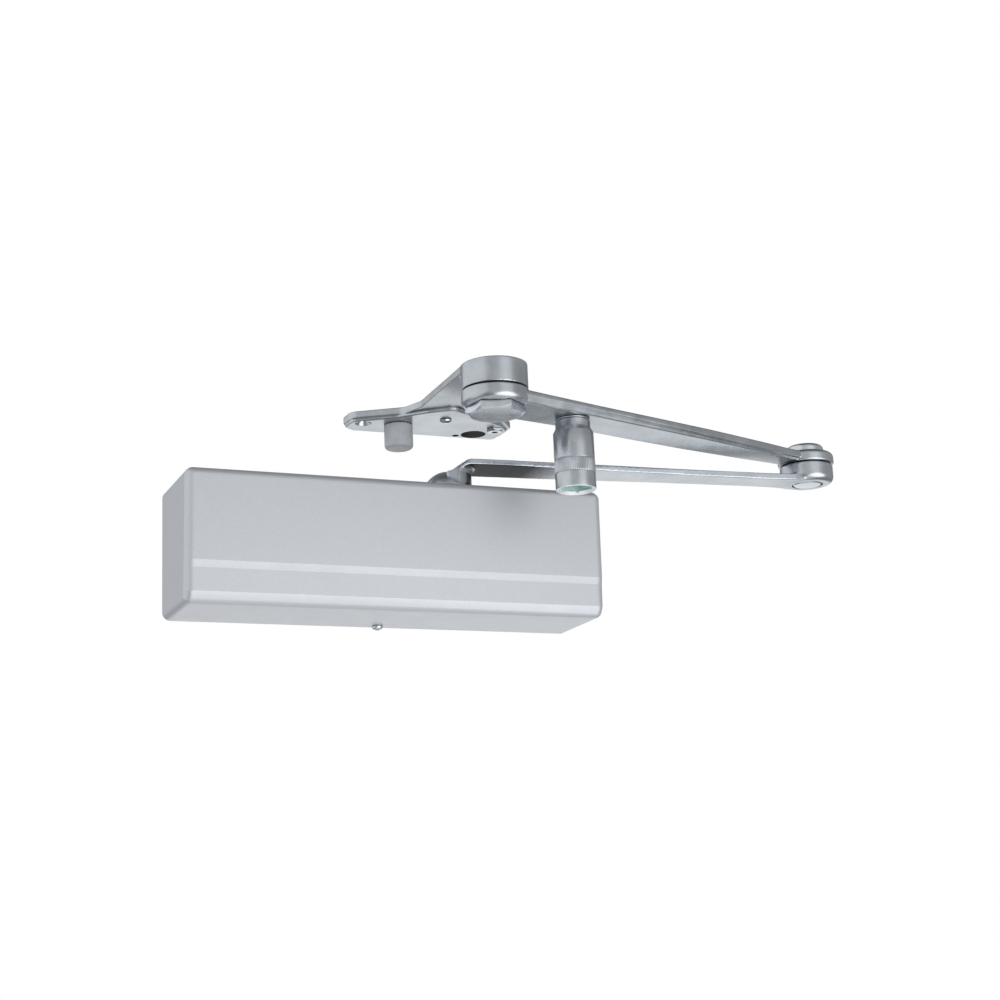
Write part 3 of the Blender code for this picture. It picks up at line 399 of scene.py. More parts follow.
def finish_piece(thing, body, nodes, material, angle=32.0, sharp=True):
    thing.data.materials.clear()
    thing.data.materials.append(material)
    thing.data.shade_smooth()
    if sharp:
        thing.data.set_sharp_from_angle(angle=math.radians(angle))
    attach(thing, body)
    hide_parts(*nodes)
    return thing


# Materials


class Finish:
    """A Principled material whose colour, roughness and bump come from noise in the piece's own space."""

    def __init__(self, name, color, roughness, metallic):
        self.material = bpy.data.materials.new(name)
        self.material.use_nodes = True
        self.nodes = self.material.node_tree.nodes
        self.links = self.material.node_tree.links
        self.shader = self.nodes["Principled BSDF"]
        self.shader.inputs["Metallic"].default_value = metallic
        self.color = color
        self.roughness = roughness
        self.place = self.nodes.new("ShaderNodeTexCoord").outputs["Object"]
        self.height = None

    def stretched(self, scale):
        mapping = self.nodes.new("ShaderNodeMapping")
        mapping.inputs["Scale"].default_value = scale
        self.links.new(self.place, mapping.inputs["Vector"])
        return mapping.outputs["Vector"]

    def noise(self, scale, detail=3.0, stretch=None):
        texture = self.nodes.new("ShaderNodeTexNoise")
        texture.inputs["Scale"].default_value = scale
        texture.inputs["Detail"].default_value = detail
        place = self.stretched(stretch) if stretch else self.place
        self.links.new(place, texture.inputs["Vector"])
        return texture.outputs["Fac"]

    def flakes(self, scale):
        texture = self.nodes.new("ShaderNodeTexVoronoi")
        texture.inputs["Scale"].default_value = scale
        self.links.new(self.place, texture.inputs["Vector"])
        split = self.nodes.new("ShaderNodeSeparateColor")
        self.links.new(texture.outputs["Color"], split.inputs["Color"])
        return split.outputs["Red"]

    def spread(self, value, low, high, start=0.3, end=0.7):
        remap = self.nodes.new("ShaderNodeMapRange")
        remap.inputs["From Min"].default_value = start
        remap.inputs["From Max"].default_value = end
        remap.inputs["To Min"].default_value = low
        remap.inputs["To Max"].default_value = high
        self.links.new(value, remap.inputs["Value"])
        return remap.outputs["Result"]

    def blend(self, share, first, second):
        mix = self.nodes.new("ShaderNodeMix")
        mix.data_type = "RGBA"
        self.links.new(share, mix.inputs["Factor"])
        for value, socket in ((first, mix.inputs["A"]), (second, mix.inputs["B"])):
            if isinstance(value, tuple):
                socket.default_value = (*value, 1.0)
            else:
                self.links.new(value, socket)
        return mix.outputs["Result"]

    def shade(self, amount):
        return tuple(min(1.0, channel * amount) for channel in self.color)

    def vary_color(self, value, darker, lighter, start=0.3, end=0.7):
        self.links.new(
            self.blend(self.spread(value, 0.0, 1.0, start, end), self.shade(darker), self.shade(lighter)),
            self.shader.inputs["Base Color"],
        )

    def vary_roughness(self, value, amount):
        result = self.spread(value, self.roughness - amount, self.roughness + amount)
        self.links.new(result, self.shader.inputs["Roughness"])

    def bump(self, value, strength, distance):
        node = self.nodes.new("ShaderNodeBump")
        node.inputs["Strength"].default_value = strength
        node.inputs["Distance"].default_value = distance * MM
        self.links.new(value, node.inputs["Height"])
        if self.height is not None:
            self.links.new(self.height, node.inputs["Normal"])
        self.height = node.outputs["Normal"]
        self.links.new(self.height, self.shader.inputs["Normal"])


def silver_paint():
    """Sprayed metallic paint: fine flakes, a soft orange peel and faint clouding."""
    finish = Finish("silver_paint", (0.512, 0.528, 0.556), 0.40, 0.50)
    flakes = finish.flakes(2600.0)
    clouds = finish.noise(9.0, 2.0)
    flaked = finish.blend(finish.spread(flakes, 0.0, 1.0, 0.0, 1.0), finish.shade(0.93), finish.shade(1.07))
    finish.links.new(
        finish.blend(finish.spread(clouds, 0.0, 0.35), flaked, finish.shade(0.97)),
        finish.shader.inputs["Base Color"],
    )
    finish.vary_roughness(finish.noise(60.0), 0.03)
    finish.bump(finish.noise(420.0, 2.0), 0.12, 0.05)
    finish.shader.inputs["Coat Weight"].default_value = 0.12
    finish.shader.inputs["Coat Roughness"].default_value = 0.3
    return finish.material


def satin_zinc():
    """Plated forging: slightly mottled, with a fine blasted grain."""
    finish = Finish("satin_zinc", (0.455, 0.485, 0.515), 0.27, 1.0)
    finish.vary_color(finish.noise(70.0, 5.0), 0.86, 1.1)
    finish.vary_roughness(finish.noise(35.0, 4.0), 0.07)
    finish.bump(finish.noise(900.0, 3.0), 0.14, 0.05)
    finish.bump(finish.noise(110.0, 3.0), 0.10, 0.2)
    return finish.material


def shaded_zinc():
    """The arm's underside, painted dark near the hub in place of a reflection this studio lacks."""
    finish = Finish("shaded_zinc", (0.455, 0.485, 0.515), 0.3, 1.0)
    split = finish.nodes.new("ShaderNodeSeparateXYZ")
    finish.links.new(finish.place, split.inputs["Vector"])
    # Share beyond the painted shade: 0 near the hub, where the underside is painted dark, rising to 1 further out.
    beyond_painted_shade = finish.spread(split.outputs["X"], 0.0, 1.0, 0.115, 0.15)
    # Dark mottled colour of the painted shade near the hub.
    mottled = finish.blend(finish.noise(70.0, 5.0), finish.shade(0.05), finish.shade(0.11))
    finish.links.new(finish.blend(beyond_painted_shade, mottled, finish.shade(1.0)), finish.shader.inputs["Base Color"])
    finish.links.new(beyond_painted_shade, finish.shader.inputs["Metallic"])
    finish.shader.inputs["Specular IOR Level"].default_value = 0.02
    finish.vary_roughness(finish.noise(35.0, 4.0), 0.06)
    finish.bump(finish.noise(900.0, 3.0), 0.14, 0.05)
    return finish.material


def bright_steel():
    finish = Finish("bright_steel", (0.57, 0.60, 0.63), 0.25, 1.0)
    finish.vary_color(finish.noise(120.0, 4.0), 0.9, 1.08)
    finish.vary_roughness(finish.noise(60.0), 0.06)
    finish.bump(finish.noise(300.0), 0.06, 0.04)
    return finish.material


def plated_knob():
    """Turned steel: fine rings left by the tool round the upright axis."""
    finish = Finish("plated_knob", (0.47, 0.50, 0.53), 0.3, 1.0)
    rings = finish.noise(1.0, 3.0, stretch=(30.0, 30.0, 2400.0))
    finish.vary_color(finish.noise(90.0, 4.0), 0.88, 1.1)
    finish.vary_roughness(finish.noise(45.0), 0.06)
    finish.bump(rings, 0.18, 0.05)
    return finish.material


def teal_plating():
    """The thin blue-green film of the passivated socket."""
    finish = Finish("teal_plating", (0.52, 0.76, 0.74), 0.25, 0.3)
    finish.vary_color(finish.noise(160.0, 3.0), 0.6, 1.5)
    finish.vary_roughness(finish.noise(80.0), 0.06)
    finish.bump(finish.noise(600.0), 0.15, 0.05)
    return finish.material


def painted_highlight_rim():
    """The knob's socket rim, made much lighter than the knob's metal: a painted highlight along its cut edge."""
    finish = Finish("painted_highlight_rim", (0.86, 0.88, 0.90), 0.3, 0.5)
    finish.vary_color(finish.noise(200.0, 3.0), 0.92, 1.05)
    finish.vary_roughness(finish.noise(90.0), 0.05)
    finish.bump(finish.noise(500.0), 0.08, 0.03)
    return finish.material


def cast_aluminium():
    finish = Finish("cast_aluminium", (0.50, 0.505, 0.515), 0.5, 1.0)
    finish.vary_color(finish.noise(40.0, 6.0), 0.78, 1.08)
    finish.vary_roughness(finish.noise(25.0), 0.08)
    finish.bump(finish.noise(500.0, 4.0), 0.35, 0.12)
    return finish.material


def spring_steel():
    finish = Finish("spring_steel", (0.10, 0.10, 0.11), 0.36, 0.9)
    finish.vary_color(finish.noise(150.0), 0.7, 1.4)
    finish.vary_roughness(finish.noise(70.0), 0.08)
    finish.bump(finish.noise(800.0), 0.2, 0.05)
    return finish.material


def grey_rubber():
    """Moulded rubber: matte, very finely pitted, faintly dusty."""
    finish = Finish("grey_rubber", (0.46, 0.475, 0.50), 0.45, 0.0)
    finish.vary_color(finish.noise(130.0, 5.0), 0.88, 1.1)
    finish.vary_roughness(finish.noise(90.0), 0.07)
    finish.bump(finish.noise(1500.0, 2.0), 0.25, 0.05)
    return finish.material


def black_seal():
    finish = Finish("black_seal", (0.02, 0.02, 0.021), 0.5, 0.0)
    finish.vary_color(finish.noise(300.0), 0.7, 1.5)
    finish.vary_roughness(finish.noise(120.0), 0.08)
    finish.bump(finish.noise(900.0), 0.2, 0.05)
    return finish.material


def painted_shade_finish():
    """Painted shade: a dark finish for the walls of drilled holes and for the pivot's washer, in place of the
    shade inside them.
    """
    finish = Finish("painted_shade_finish", (0.055, 0.055, 0.06), 0.55, 0.4)
    finish.vary_color(finish.noise(150.0, 4.0), 0.7, 1.4)
    finish.vary_roughness(finish.noise(80.0), 0.08)
    finish.bump(finish.noise(700.0), 0.2, 0.05)
    return finish.material


def bearing_bronze():
    finish = Finish("bearing_bronze", (0.50, 0.36, 0.19), 0.36, 1.0)
    finish.vary_color(finish.noise(80.0, 4.0), 0.8, 1.1)
    finish.vary_roughness(finish.noise(60.0), 0.08)
    finish.bump(finish.noise(700.0), 0.15, 0.05)
    return finish.material


# Pieces: cover


def cover_section(inset, back=COVER_BACK):
    """The cover's section in (y, z), moved inward by inset, with the two slopes along its front."""
    corners = [
        (-COVER_BACK, HALF_HEIGHT, 0.0),
        (-COVER_DEPTH, HALF_HEIGHT, 6.0),
        (-77.9, -18.5, 0.8),
        (-76.8, -23.8, 0.6),
        (-76.2, -40.6, 0.6),
        (-71.7, -HALF_HEIGHT, 6.0),
        (-COVER_BACK, -HALF_HEIGHT, 0.0),
    ]
    count = len(corners)
    moved = []
    for index, (y, z, radius) in enumerate(corners):
        before = corners[index - 1]
        after = corners[(index + 1) % count]
        first = 0.0 if index == 0 else inset
        second = 0.0 if index == count - 1 else inset
        new_y, new_z = offset_corner(before, (y, z), after, first, second)
        if index in (0, count - 1):
            new_y = -back
        moved.append((new_y, new_z, max(radius - inset, 0.15) if radius else 0.0))
    return rounded(moved, 10)


def make_cover(material, screw_x, screw_y):
    steps = 10
    sections = []
    for side in (-1, 1):
        rings = []
        for step in range(steps + 1):
            angle = math.pi / 2 * step / steps
            inset = COVER_EDGE * (1 - math.sin(angle))
            along = HALF_LENGTH - COVER_EDGE * (1 - math.cos(angle))
            rings.append((cover_section(inset), side * along))
        sections += rings if side < 0 else rings[::-1]
    cover = add_object("cover_shell", loft(sections, "X"))
    inside = HALF_LENGTH - COVER_WALL
    cut(cover, prism(cover_section(COVER_WALL, back=-5.0), -inside, inside, "X"))
    notch = arc(SPINDLE[0], SPINDLE[1], COVER_NOTCH, 180.0, 360.0, 32)
    notch += [(SPINDLE[0] + COVER_NOTCH, 5.0), (SPINDLE[0] - COVER_NOTCH, 5.0)]
    cut(cover, prism(notch, HALF_HEIGHT - 5.0, HALF_HEIGHT + 5.0))
    cut(cover, prism(circle(screw_x, screw_y, 2.5, 32), -HALF_HEIGHT - 5.0, -HALF_HEIGHT + 5.0))
    return finish_piece(cover, "closer", ["cover"], material, angle=20.0)


def centre_of(node):
    low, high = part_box(node)
    middle = (low + high) / 2 / MM
    return middle.x, middle.y


def make_cover_screw(material):
    place = centre_of("cover_screw")
    low = low_of("cover_screw")
    profile = [(0.0, low), (2.2, low + 0.1), (3.5, low + 0.8), (4.2, low + 2.0), (4.2, low + 2.9)]
    profile += [(2.1, low + 2.9), (2.1, low + 14.9), (0.0, low + 15.4)]
    screw = add_object("cover_screw_fine", turned(softened(profile, 0.4), place))
    cut(screw, prism(circle(*place, 1.7, 6), low - 2.0, low + 1.7))
    return finish_piece(screw, "closer", ["cover_screw"], material)


# Pieces: arms


def make_main_arm(material, underside):
    """The forged main arm: domed hub, joggle up to a tapered bar, and a round boss for the elbow."""
    half = [(4.0, 17.6), (14.0, ARM_HALF_HUB), (40.0, ARM_HALF_HUB), (205.0, ARM_HALF_ELBOW + 0.5)]
    half += [(262.0, ARM_HALF_ELBOW), (278.0, ARM_HALF_ELBOW + 0.8), (286.0, ARM_HALF_ELBOW + 2.2)]
    half += [(292.0, 17.0), (ARM_LENGTH, 17.0)]
    plan = [(-4.0, -15.3)] + [(along, -across) for along, across in half] + half[::-1] + [(-4.0, 15.3)]
    end = ARM_LENGTH + ELBOW_RADIUS
    side = rounded(
        [
            (-30.0, HUB_LOW + 3.0, 0.0),
            (HUB_REACH + 8.0, HUB_LOW + 3.0, 0.0),
            (HUB_REACH + 8.0, ARM_LOW_HUB, 0.0),
            (end, ARM_LOW_ELBOW, 0.0),
            (end, ARM_TOP_ELBOW, 0.0),
            (12.5, ARM_TOP_HUB, 8.0),
            (-1.0, 65.9, 5.0),
            (-30.0, 65.2, 0.0),
        ]
    )
    blank = swing_into_place(prism(plan, HUB_LOW - 10.0, SOFFIT), SPINDLE, ELBOW)
    arm = add_object("main_arm_forging", blank)
    combine(arm, "INTERSECT", swing_into_place(prism(side, -60.0, 60.0, "Y"), SPINDLE, ELBOW))
    fillet = arc(HUB_RADIUS + 4.4, ARM_LOW_HUB - 4.5, 4.5, 180.0, 90.0, 12)
    trim = [(HUB_RADIUS - 0.5, HUB_LOW - 5.0), (HUB_REACH + 25.0, HUB_LOW - 5.0)]
    trim += [(HUB_REACH + 25.0, ARM_LOW_HUB)] + fillet[::-1] + [(HUB_RADIUS - 0.5, ARM_LOW_HUB - 5.5)]
    cut(arm, turned(trim, SPINDLE))
    start = math.degrees(math.acos(HUB_RADIUS / DOME_RADIUS))
    dome = [(0.0, HUB_LOW), (HUB_RADIUS - 0.8, HUB_LOW), (HUB_RADIUS, HUB_LOW + 0.8)]
    dome += arc(0.0, DOME_CENTRE, DOME_RADIUS, start, 90.0, 24)[:-1] + [(0.0, DOME_CENTRE + DOME_RADIUS)]
    join(arm, turned(dome, SPINDLE))
    boss = [(0.0, ELBOW_LOW), (ELBOW_RADIUS - 5.5, ELBOW_LOW)]
    boss += arc(ELBOW_RADIUS - 5.5, ELBOW_LOW + 5.5, 5.5, -90.0, 0.0, 12)[1:]
    boss += [(ELBOW_RADIUS, ARM_BOSS_TOP - 0.9), (ELBOW_RADIUS - 0.9, ARM_BOSS_TOP), (0.0, ARM_BOSS_TOP)]
    join(arm, turned(boss, ELBOW))
    forge(arm, 0.5, 7)
    cut(arm, prism(circle(*ELBOW, 12.5), 60.0, RIVET_SHOULDER + GAP))
    cut(arm, prism(circle(*ELBOW, RIVET_RADIUS + GAP), 60.0, 90.0))
    cut(arm, prism(circle(*SPINDLE, HUB_RECESS), HUB_SEAT, 90.0))
    square = 5.9
    sx, sy = SPINDLE
    cut(arm, box((sx - square, sy - square, 40.0), (sx + square, sy + square, HUB_SEAT + 0.2)))
    finish_piece(arm, "arm", ["main_arm"], material, angle=50.0)
    # Downward faces near the hub get the second material, whose painted shade darkens them.
    arm.data.materials.append(underside)
    for face in arm.data.polygons:
        height = face.center.z / MM
        reach = math.dist((face.center.x / MM, face.center.y / MM), SPINDLE)
        if face.normal.z < -0.75 and height > ARM_LOW_HUB - 3.0 and HUB_RADIUS + 2.0 < reach < 120.0:
            face.material_index = 1
    return arm


def forearm_section(half, parting, low):
    """The bar's section as (across, height): upright above the parting line, leaning in below it."""
    foot = half - FOREARM_LEAN
    side = [(foot - 1.6, low), (foot - 0.5, low + 0.4), (foot + 0.1, low + 1.5), (half, parting)]
    side += [(half, FOREARM_TOP - 1.0), (half - 1.0, FOREARM_TOP)]
    return side + [(-across, height) for across, height in reversed(side)]


def make_forearm(material):
    """The forearm: a tapered forging with a parting line along it and a disc at each end."""
    rows = FOREARM_SECTIONS + [(FOREARM_LENGTH, *FOREARM_SECTIONS[-1][1:])]
    bar = loft([(forearm_section(*row[1:]), row[0]) for row in rows], "X")
    forearm = add_object("forearm_forging", swing_into_place(bar, PIVOT, ELBOW))
    disc = [(0.0, PIVOT_DISC_LOW), (PIVOT_RADIUS - 4.4, PIVOT_DISC_LOW)]
    disc += arc(PIVOT_RADIUS - 5.0, PIVOT_DISC_LOW + 5.0, 5.0, -80.0, 0.0, 12)
    disc += [(PIVOT_RADIUS, PIVOT_DISC_TOP - 0.4), (PIVOT_RADIUS - 0.4, PIVOT_DISC_TOP)]
    disc.append((0.0, PIVOT_DISC_TOP))
    join(forearm, turned(disc, PIVOT))
    disc = [(0.0, ELBOW_DISC_LOW), (FOREARM_DISC - 0.9, ELBOW_DISC_LOW)]
    disc.append((FOREARM_DISC, ELBOW_DISC_LOW + 0.9))
    disc += arc(FOREARM_DISC - 4.0, ELBOW_DISC_TOP - 4.0, 4.0, 0.0, 90.0, 12) + [(0.0, ELBOW_DISC_TOP)]
    join(forearm, turned(disc, ELBOW))
    forge(forearm, 0.45, 4)
    cut(forearm, prism(circle(*PIVOT, BUSH_BORE), 70.0, 110.0))
    cut(forearm, prism(circle(*ELBOW, ELBOW_BORE), 70.0, 110.0))
    cut(forearm, prism(circle(*KNOB, STUD_THREAD + GAP), 70.0, 90.3))
    return finish_piece(forearm, "forearm", ["forearm"], material, angle=50.0)


def make_elbow_parts(material):
    low = low_of("elbow_pin")
    top = high_of("elbow_pin")
    head = 12.0
    profile = [(0.0, low), (head - 1.6, low), (head, low + 1.3), (head, RIVET_SHOULDER)]
    profile += [(RIVET_RADIUS, RIVET_SHOULDER), (RIVET_RADIUS, ELBOW_DISC_TOP)]
    profile += [(RIVET_STEM, ELBOW_DISC_TOP), (RIVET_STEM, top), (0.0, top)]
    pin = add_object("elbow_pin_fine", turned(softened(profile, 0.5), ELBOW))
    finish_piece(pin, "arm", ["elbow_pin"], material)
    low = low_of("elbow_cap")
    top = high_of("elbow_cap")
    radius = 15.0
    pocket = RIVET_STEM + GAP
    cap = [(0.0, CAP_POCKET), (pocket, CAP_POCKET), (pocket, low), (radius - 0.6, low)]
    cap.append((radius, low + 0.6))
    cap += arc(radius - 3.5, top - 3.5, 3.5, 0.0, 90.0, 12) + [(0.0, top)]
    cap = add_object("elbow_cap_fine", turned(cap, ELBOW))
    return finish_piece(cap, "arm", ["elbow_cap"], material)


def make_hub_fasteners(material):
    """Washer and socket screw at the bottom of the hub's recess."""
    low = low_of("hub_washer")
    top = high_of("hub_washer")
    washer = [(3.6, low), (HUB_RECESS - 0.5, low), (HUB_RECESS - 0.5, top), (3.6, top)]
    washer = add_object("hub_washer_fine", turned(washer, SPINDLE))
    finish_piece(washer, "arm", ["hub_washer"], material)
    low = low_of("hub_screw")
    top = high_of("hub_screw")
    head = top - 3.8
    profile = [(0.0, low), (2.5, low), (2.5, head), (5.0, head), (5.0, top - 0.6), (4.3, top), (0.0, top)]
    screw = add_object("hub_screw_fine", turned(softened(profile, 0.3), SPINDLE))
    cut(screw, prism(circle(*SPINDLE, 2.4, 6), head + 1.6, head + 9.0))
    return finish_piece(screw, "arm", ["hub_screw"], material)


def make_pivot_bolt(material):
    """The large hexagon bolt: chamfered all round at its lower face."""
    x, y = PIVOT
    low = low_of("pivot_bolt")
    top = PIVOT_DISC_LOW - GAP
    bolt = add_object("pivot_bolt_fine", prism(circle(x, y, BOLT_CORNER, 6, BOLT_TURN), low, top))
    rim = BOLT_CORNER + 0.9
    profile = [(0.0, low), (BOLT_FACE, low), (rim, low + 2.8), (rim, top), (0.0, top)]
    combine(bolt, "INTERSECT", turned(softened(profile, 0.5), PIVOT, steps=192))
    join(bolt, prism(circle(x, y, BOLT_SHANK), 80.0, BOLT_TOP))
    bevel = bolt.modifiers.new("bevel", "BEVEL")
    bevel.width = 0.25 * MM
    bevel.segments = 2
    bevel.limit_method = "ANGLE"
    bevel.angle_limit = math.radians(30.0)
    apply_modifiers(bolt)
    return finish_piece(bolt, "bracket", ["pivot_bolt"], material)


# Pieces: hold-open knob


def make_knob(material, lining, rim):
    """The sleeve with its knurled band and the open hexagon socket that the lower rim frames."""

    def knurl(height, angle):
        if not KNOB_BAND_LOW < height < KNOB_BAND_HIGH:
            return 0.0
        fade = min(1.0, (height - KNOB_BAND_LOW) / 0.6, (KNOB_BAND_HIGH - height) / 0.6)
        return fade * 0.16 * (math.cos(KNURLS * angle) - 0.6)

    profile = [
        (0.0, KNOB_LOW),
        (KNOB_RADIUS - 0.7, KNOB_LOW),
        (KNOB_RADIUS - 0.1, KNOB_LOW + 0.5),
        (KNOB_RADIUS, KNOB_LOW + 1.2),
        (KNOB_RADIUS, KNOB_BAND_LOW - 0.5),
        (KNOB_RADIUS - 0.35, KNOB_BAND_LOW - 0.1),
        (KNOB_RADIUS - 0.1, KNOB_BAND_LOW + 0.6),
        (KNOB_RADIUS, KNOB_BAND_LOW + 1.0),
        (KNOB_RADIUS, KNOB_BAND_HIGH - 1.0),
        (KNOB_RADIUS - 0.1, KNOB_BAND_HIGH - 0.6),
        (KNOB_RADIUS - 0.35, KNOB_BAND_HIGH + 0.1),
        (KNOB_RADIUS, KNOB_BAND_HIGH + 0.5),
        (KNOB_RADIUS, KNOB_SHOULDER - 0.4),
        (KNOB_RADIUS - 0.3, KNOB_SHOULDER + 0.2),
        (KNOB_NECK + 0.2, KNOB_NECK_LOW - 0.3),
        (KNOB_NECK, KNOB_NECK_LOW + 0.3),
        (KNOB_NECK, KNOB_TOP - 0.6),
        (KNOB_NECK - 0.6, KNOB_TOP),
        (0.0, KNOB_TOP),
    ]
    knob = add_object("hold_open_sleeve", turned(profile, KNOB, steps=KNURLS * 6, ripple=knurl))
    x, y = KNOB
    flare = [(0.0, KNOB_LOW - 1.0), (SOCKET_CORNER + 1.3, KNOB_LOW - 1.0), (SOCKET_CORNER + 1.3, KNOB_LOW)]
    flare += [(SOCKET_CORNER - 1.0, KNOB_LOW + 2.2), (0.0, KNOB_LOW + 2.2)]
    cut(knob, prism(circle(x, y, SOCKET_CORNER, 6), KNOB_LOW - 5.0, SOCKET_TOP))
    cut(knob, turned(flare, KNOB))
    cut(knob, prism(circle(x, y, CHAMBER_RADIUS), KNOB_LOW - 5.0, STUD_STEP - GAP))
    cut(knob, prism(circle(x, y, STUD_RADIUS + GAP), KNOB_LOW, 90.0))
    finish_piece(knob, "knob", ["hold_open_knob"], material, angle=28.0)
    knob.data.materials.append(lining)
    knob.data.materials.append(rim)
    for face in knob.data.polygons:
        reach = math.dist((face.center.x / MM, face.center.y / MM), KNOB)
        height = face.center.z / MM
        if reach < KNOB_RADIUS - 1.7 and KNOB_LOW + 1.2 < height < KNOB_LOW + 25.0:
            face.material_index = 1
        # Downward faces at the socket's lower rim take the painted highlight.
        elif height < KNOB_LOW + 2.3 and face.normal.z < -0.3:
            face.material_index = 2
    return knob


def make_knob_stud(material):
    top = high_of("knob_stud")
    low = low_of("knob_stud")
    collar_low = KNOB_TOP + GAP
    collar_top = COLLAR_TOP
    profile = [(0.0, low), (3.6, low), (4.0, low + 0.4), (4.0, STUD_STEP)]
    profile += [(STUD_RADIUS, STUD_STEP), (STUD_RADIUS, collar_low)]
    profile += [(KNOB_NECK - 0.6, collar_low), (KNOB_NECK, collar_low + 0.6), (KNOB_NECK, collar_top)]
    profile += [(STUD_THREAD, collar_top), (STUD_THREAD, top), (0.0, top)]
    stud = add_object("knob_stud_fine", turned(softened(profile, 0.3), KNOB))
    return finish_piece(stud, "forearm", ["knob_stud"], material)


# Pieces: bracket


def make_bracket(material, bore):
    """The cast bracket: plate, thicker pad with a soft shoulder, and the boss over the forearm."""
    boss_x, boss_y = PIVOT
    lip = BOSS_RADIUS - 0.5
    outline = rounded(
        [
            (-13.0, -4.0, 3.0),
            (-22.5, -10.0, 6.0),
            (-21.5, -28.0, 8.0),
            (14.0, -50.0, 12.0),
            (20.5, -68.0, 16.0),
            (boss_x - lip, boss_y - lip, lip - 1.5),
            (boss_x + lip, boss_y - lip, lip - 1.5),
            (64.0, -72.0, 14.0),
            (98.0, -47.0, 6.0),
            (108.5, -33.0, 6.0),
            (108.5, -6.0, 5.0),
        ]
    )
    bracket = add_object("bracket_casting", prism(outline, PLATE_LOW, SOFFIT))
    pad = rounded(
        [
            (-13.0, -5.0, 2.0),
            (-21.3, -11.0, 5.0),
            (-20.3, -27.2, 7.0),
            (9.0, -45.5, 12.0),
            (28.0, -64.0, 8.0),
            (45.0, -76.0, 8.0),
            (62.0, -66.0, 10.0),
            (95.0, -45.5, 8.0),
            (105.5, -32.0, 6.0),
            (103.5, -7.0, 4.0),
        ]
    )
    join(bracket, prism(pad, PAD_LOW, PLATE_LOW + 2.0))
    boss = [(0.0, BOSS_LOW), (BOSS_RADIUS, BOSS_LOW), (BOSS_RADIUS, SOFFIT), (0.0, SOFFIT)]
    join(bracket, turned(boss, PIVOT))
    forge(bracket, 0.6, 6)
    cut(bracket, prism(circle(*PIVOT, BOLT_SHANK + GAP), 80.0, BOLT_TOP + 1.0))
    screw = centre_of("bracket_screw")
    bumper = centre_of("bumper")
    insert = centre_of("threaded_insert")
    drills = [(*COUNTERSINK, 3.2), (*SMALL_HOLE, 2.6), (*TOOL_HOLE, 9.8), (*insert, INSERT_SHANK + GAP)]
    for x, y, radius in drills:
        cut(bracket, prism(circle(x, y, radius), 90.0, 120.0))
    sink = [(0.0, 100.0), (6.4, 100.0), (6.4, PAD_LOW + 0.3), (2.0, PAD_LOW + 4.7), (0.0, PAD_LOW + 4.7)]
    cut(bracket, turned(sink, COUNTERSINK))
    cut(bracket, prism(circle(*screw, DOME_SCREW_RADIUS + GAP), 90.0, DOME_SCREW_TOP + 0.5))
    cut(bracket, prism(circle(*bumper, BUMPER_BORE), 90.0, 112.0))
    finish_piece(bracket, "bracket", ["soffit_bracket"], material, angle=50.0)
    # The walls of the tool hole and the small hole take the painted shade.
    bracket.data.materials.append(bore)
    for face in bracket.data.polygons:
        place = (face.center.x / MM, face.center.y / MM)
        if math.dist(place, TOOL_HOLE) < 9.9 or math.dist(place, SMALL_HOLE) < 2.7:
            face.material_index = 1
    return bracket


def make_bracket_screw(material):
    place = centre_of("bracket_screw")
    low = low_of("bracket_screw")
    profile = [(0.0, low), (2.0, low + 0.15), (3.8, low + 1.1), (4.8, low + 2.6)]
    profile += [(DOME_SCREW_RADIUS, low + 2.6), (DOME_SCREW_RADIUS, DOME_SCREW_TOP)]
    profile.append((0.0, DOME_SCREW_TOP))
    screw = add_object("bracket_screw_fine", turned(softened(profile, 0.4), place))
    return finish_piece(screw, "bracket", ["bracket_screw"], material)


def make_insert(material):
    x, y = centre_of("threaded_insert")
    insert = add_object("threaded_insert_fine", prism(circle(x, y, 6.6, 6), INSERT_LOW, INSERT_HIGH))
    profile = [(0.0, INSERT_LOW), (5.6, INSERT_LOW), (6.8, INSERT_LOW + 1.0)]
    profile += [(6.8, INSERT_HIGH), (0.0, INSERT_HIGH)]
    combine(insert, "INTERSECT", turned(profile, (x, y)))
    join(insert, prism(circle(x, y, INSERT_SHANK), INSERT_LOW + 0.55, INSERT_TOP))
    cut(insert, prism(circle(x, y, 2.4), 90.0, 120.0))
    return finish_piece(insert, "bracket", ["threaded_insert"], material)


def make_bumper(material):
    place = centre_of("bumper")
    low = low_of("bumper")
    top = high_of("bumper")
    radius = 11.0
    lower_edge = arc(radius - 2.8, low + 2.8, 2.8, -90.0, 0.0, 10)
    profile = [(0.0, 93.0), (3.4, 93.0), (3.4, top), (radius - 0.3, top), (radius, top - 0.4)]
    profile += list(reversed(lower_edge)) + [(0.0, low)]
    bumper = add_object("bumper_moulding", turned(profile, place))
    return finish_piece(bumper, "bracket", ["bumper"], material)


# Pieces: spring


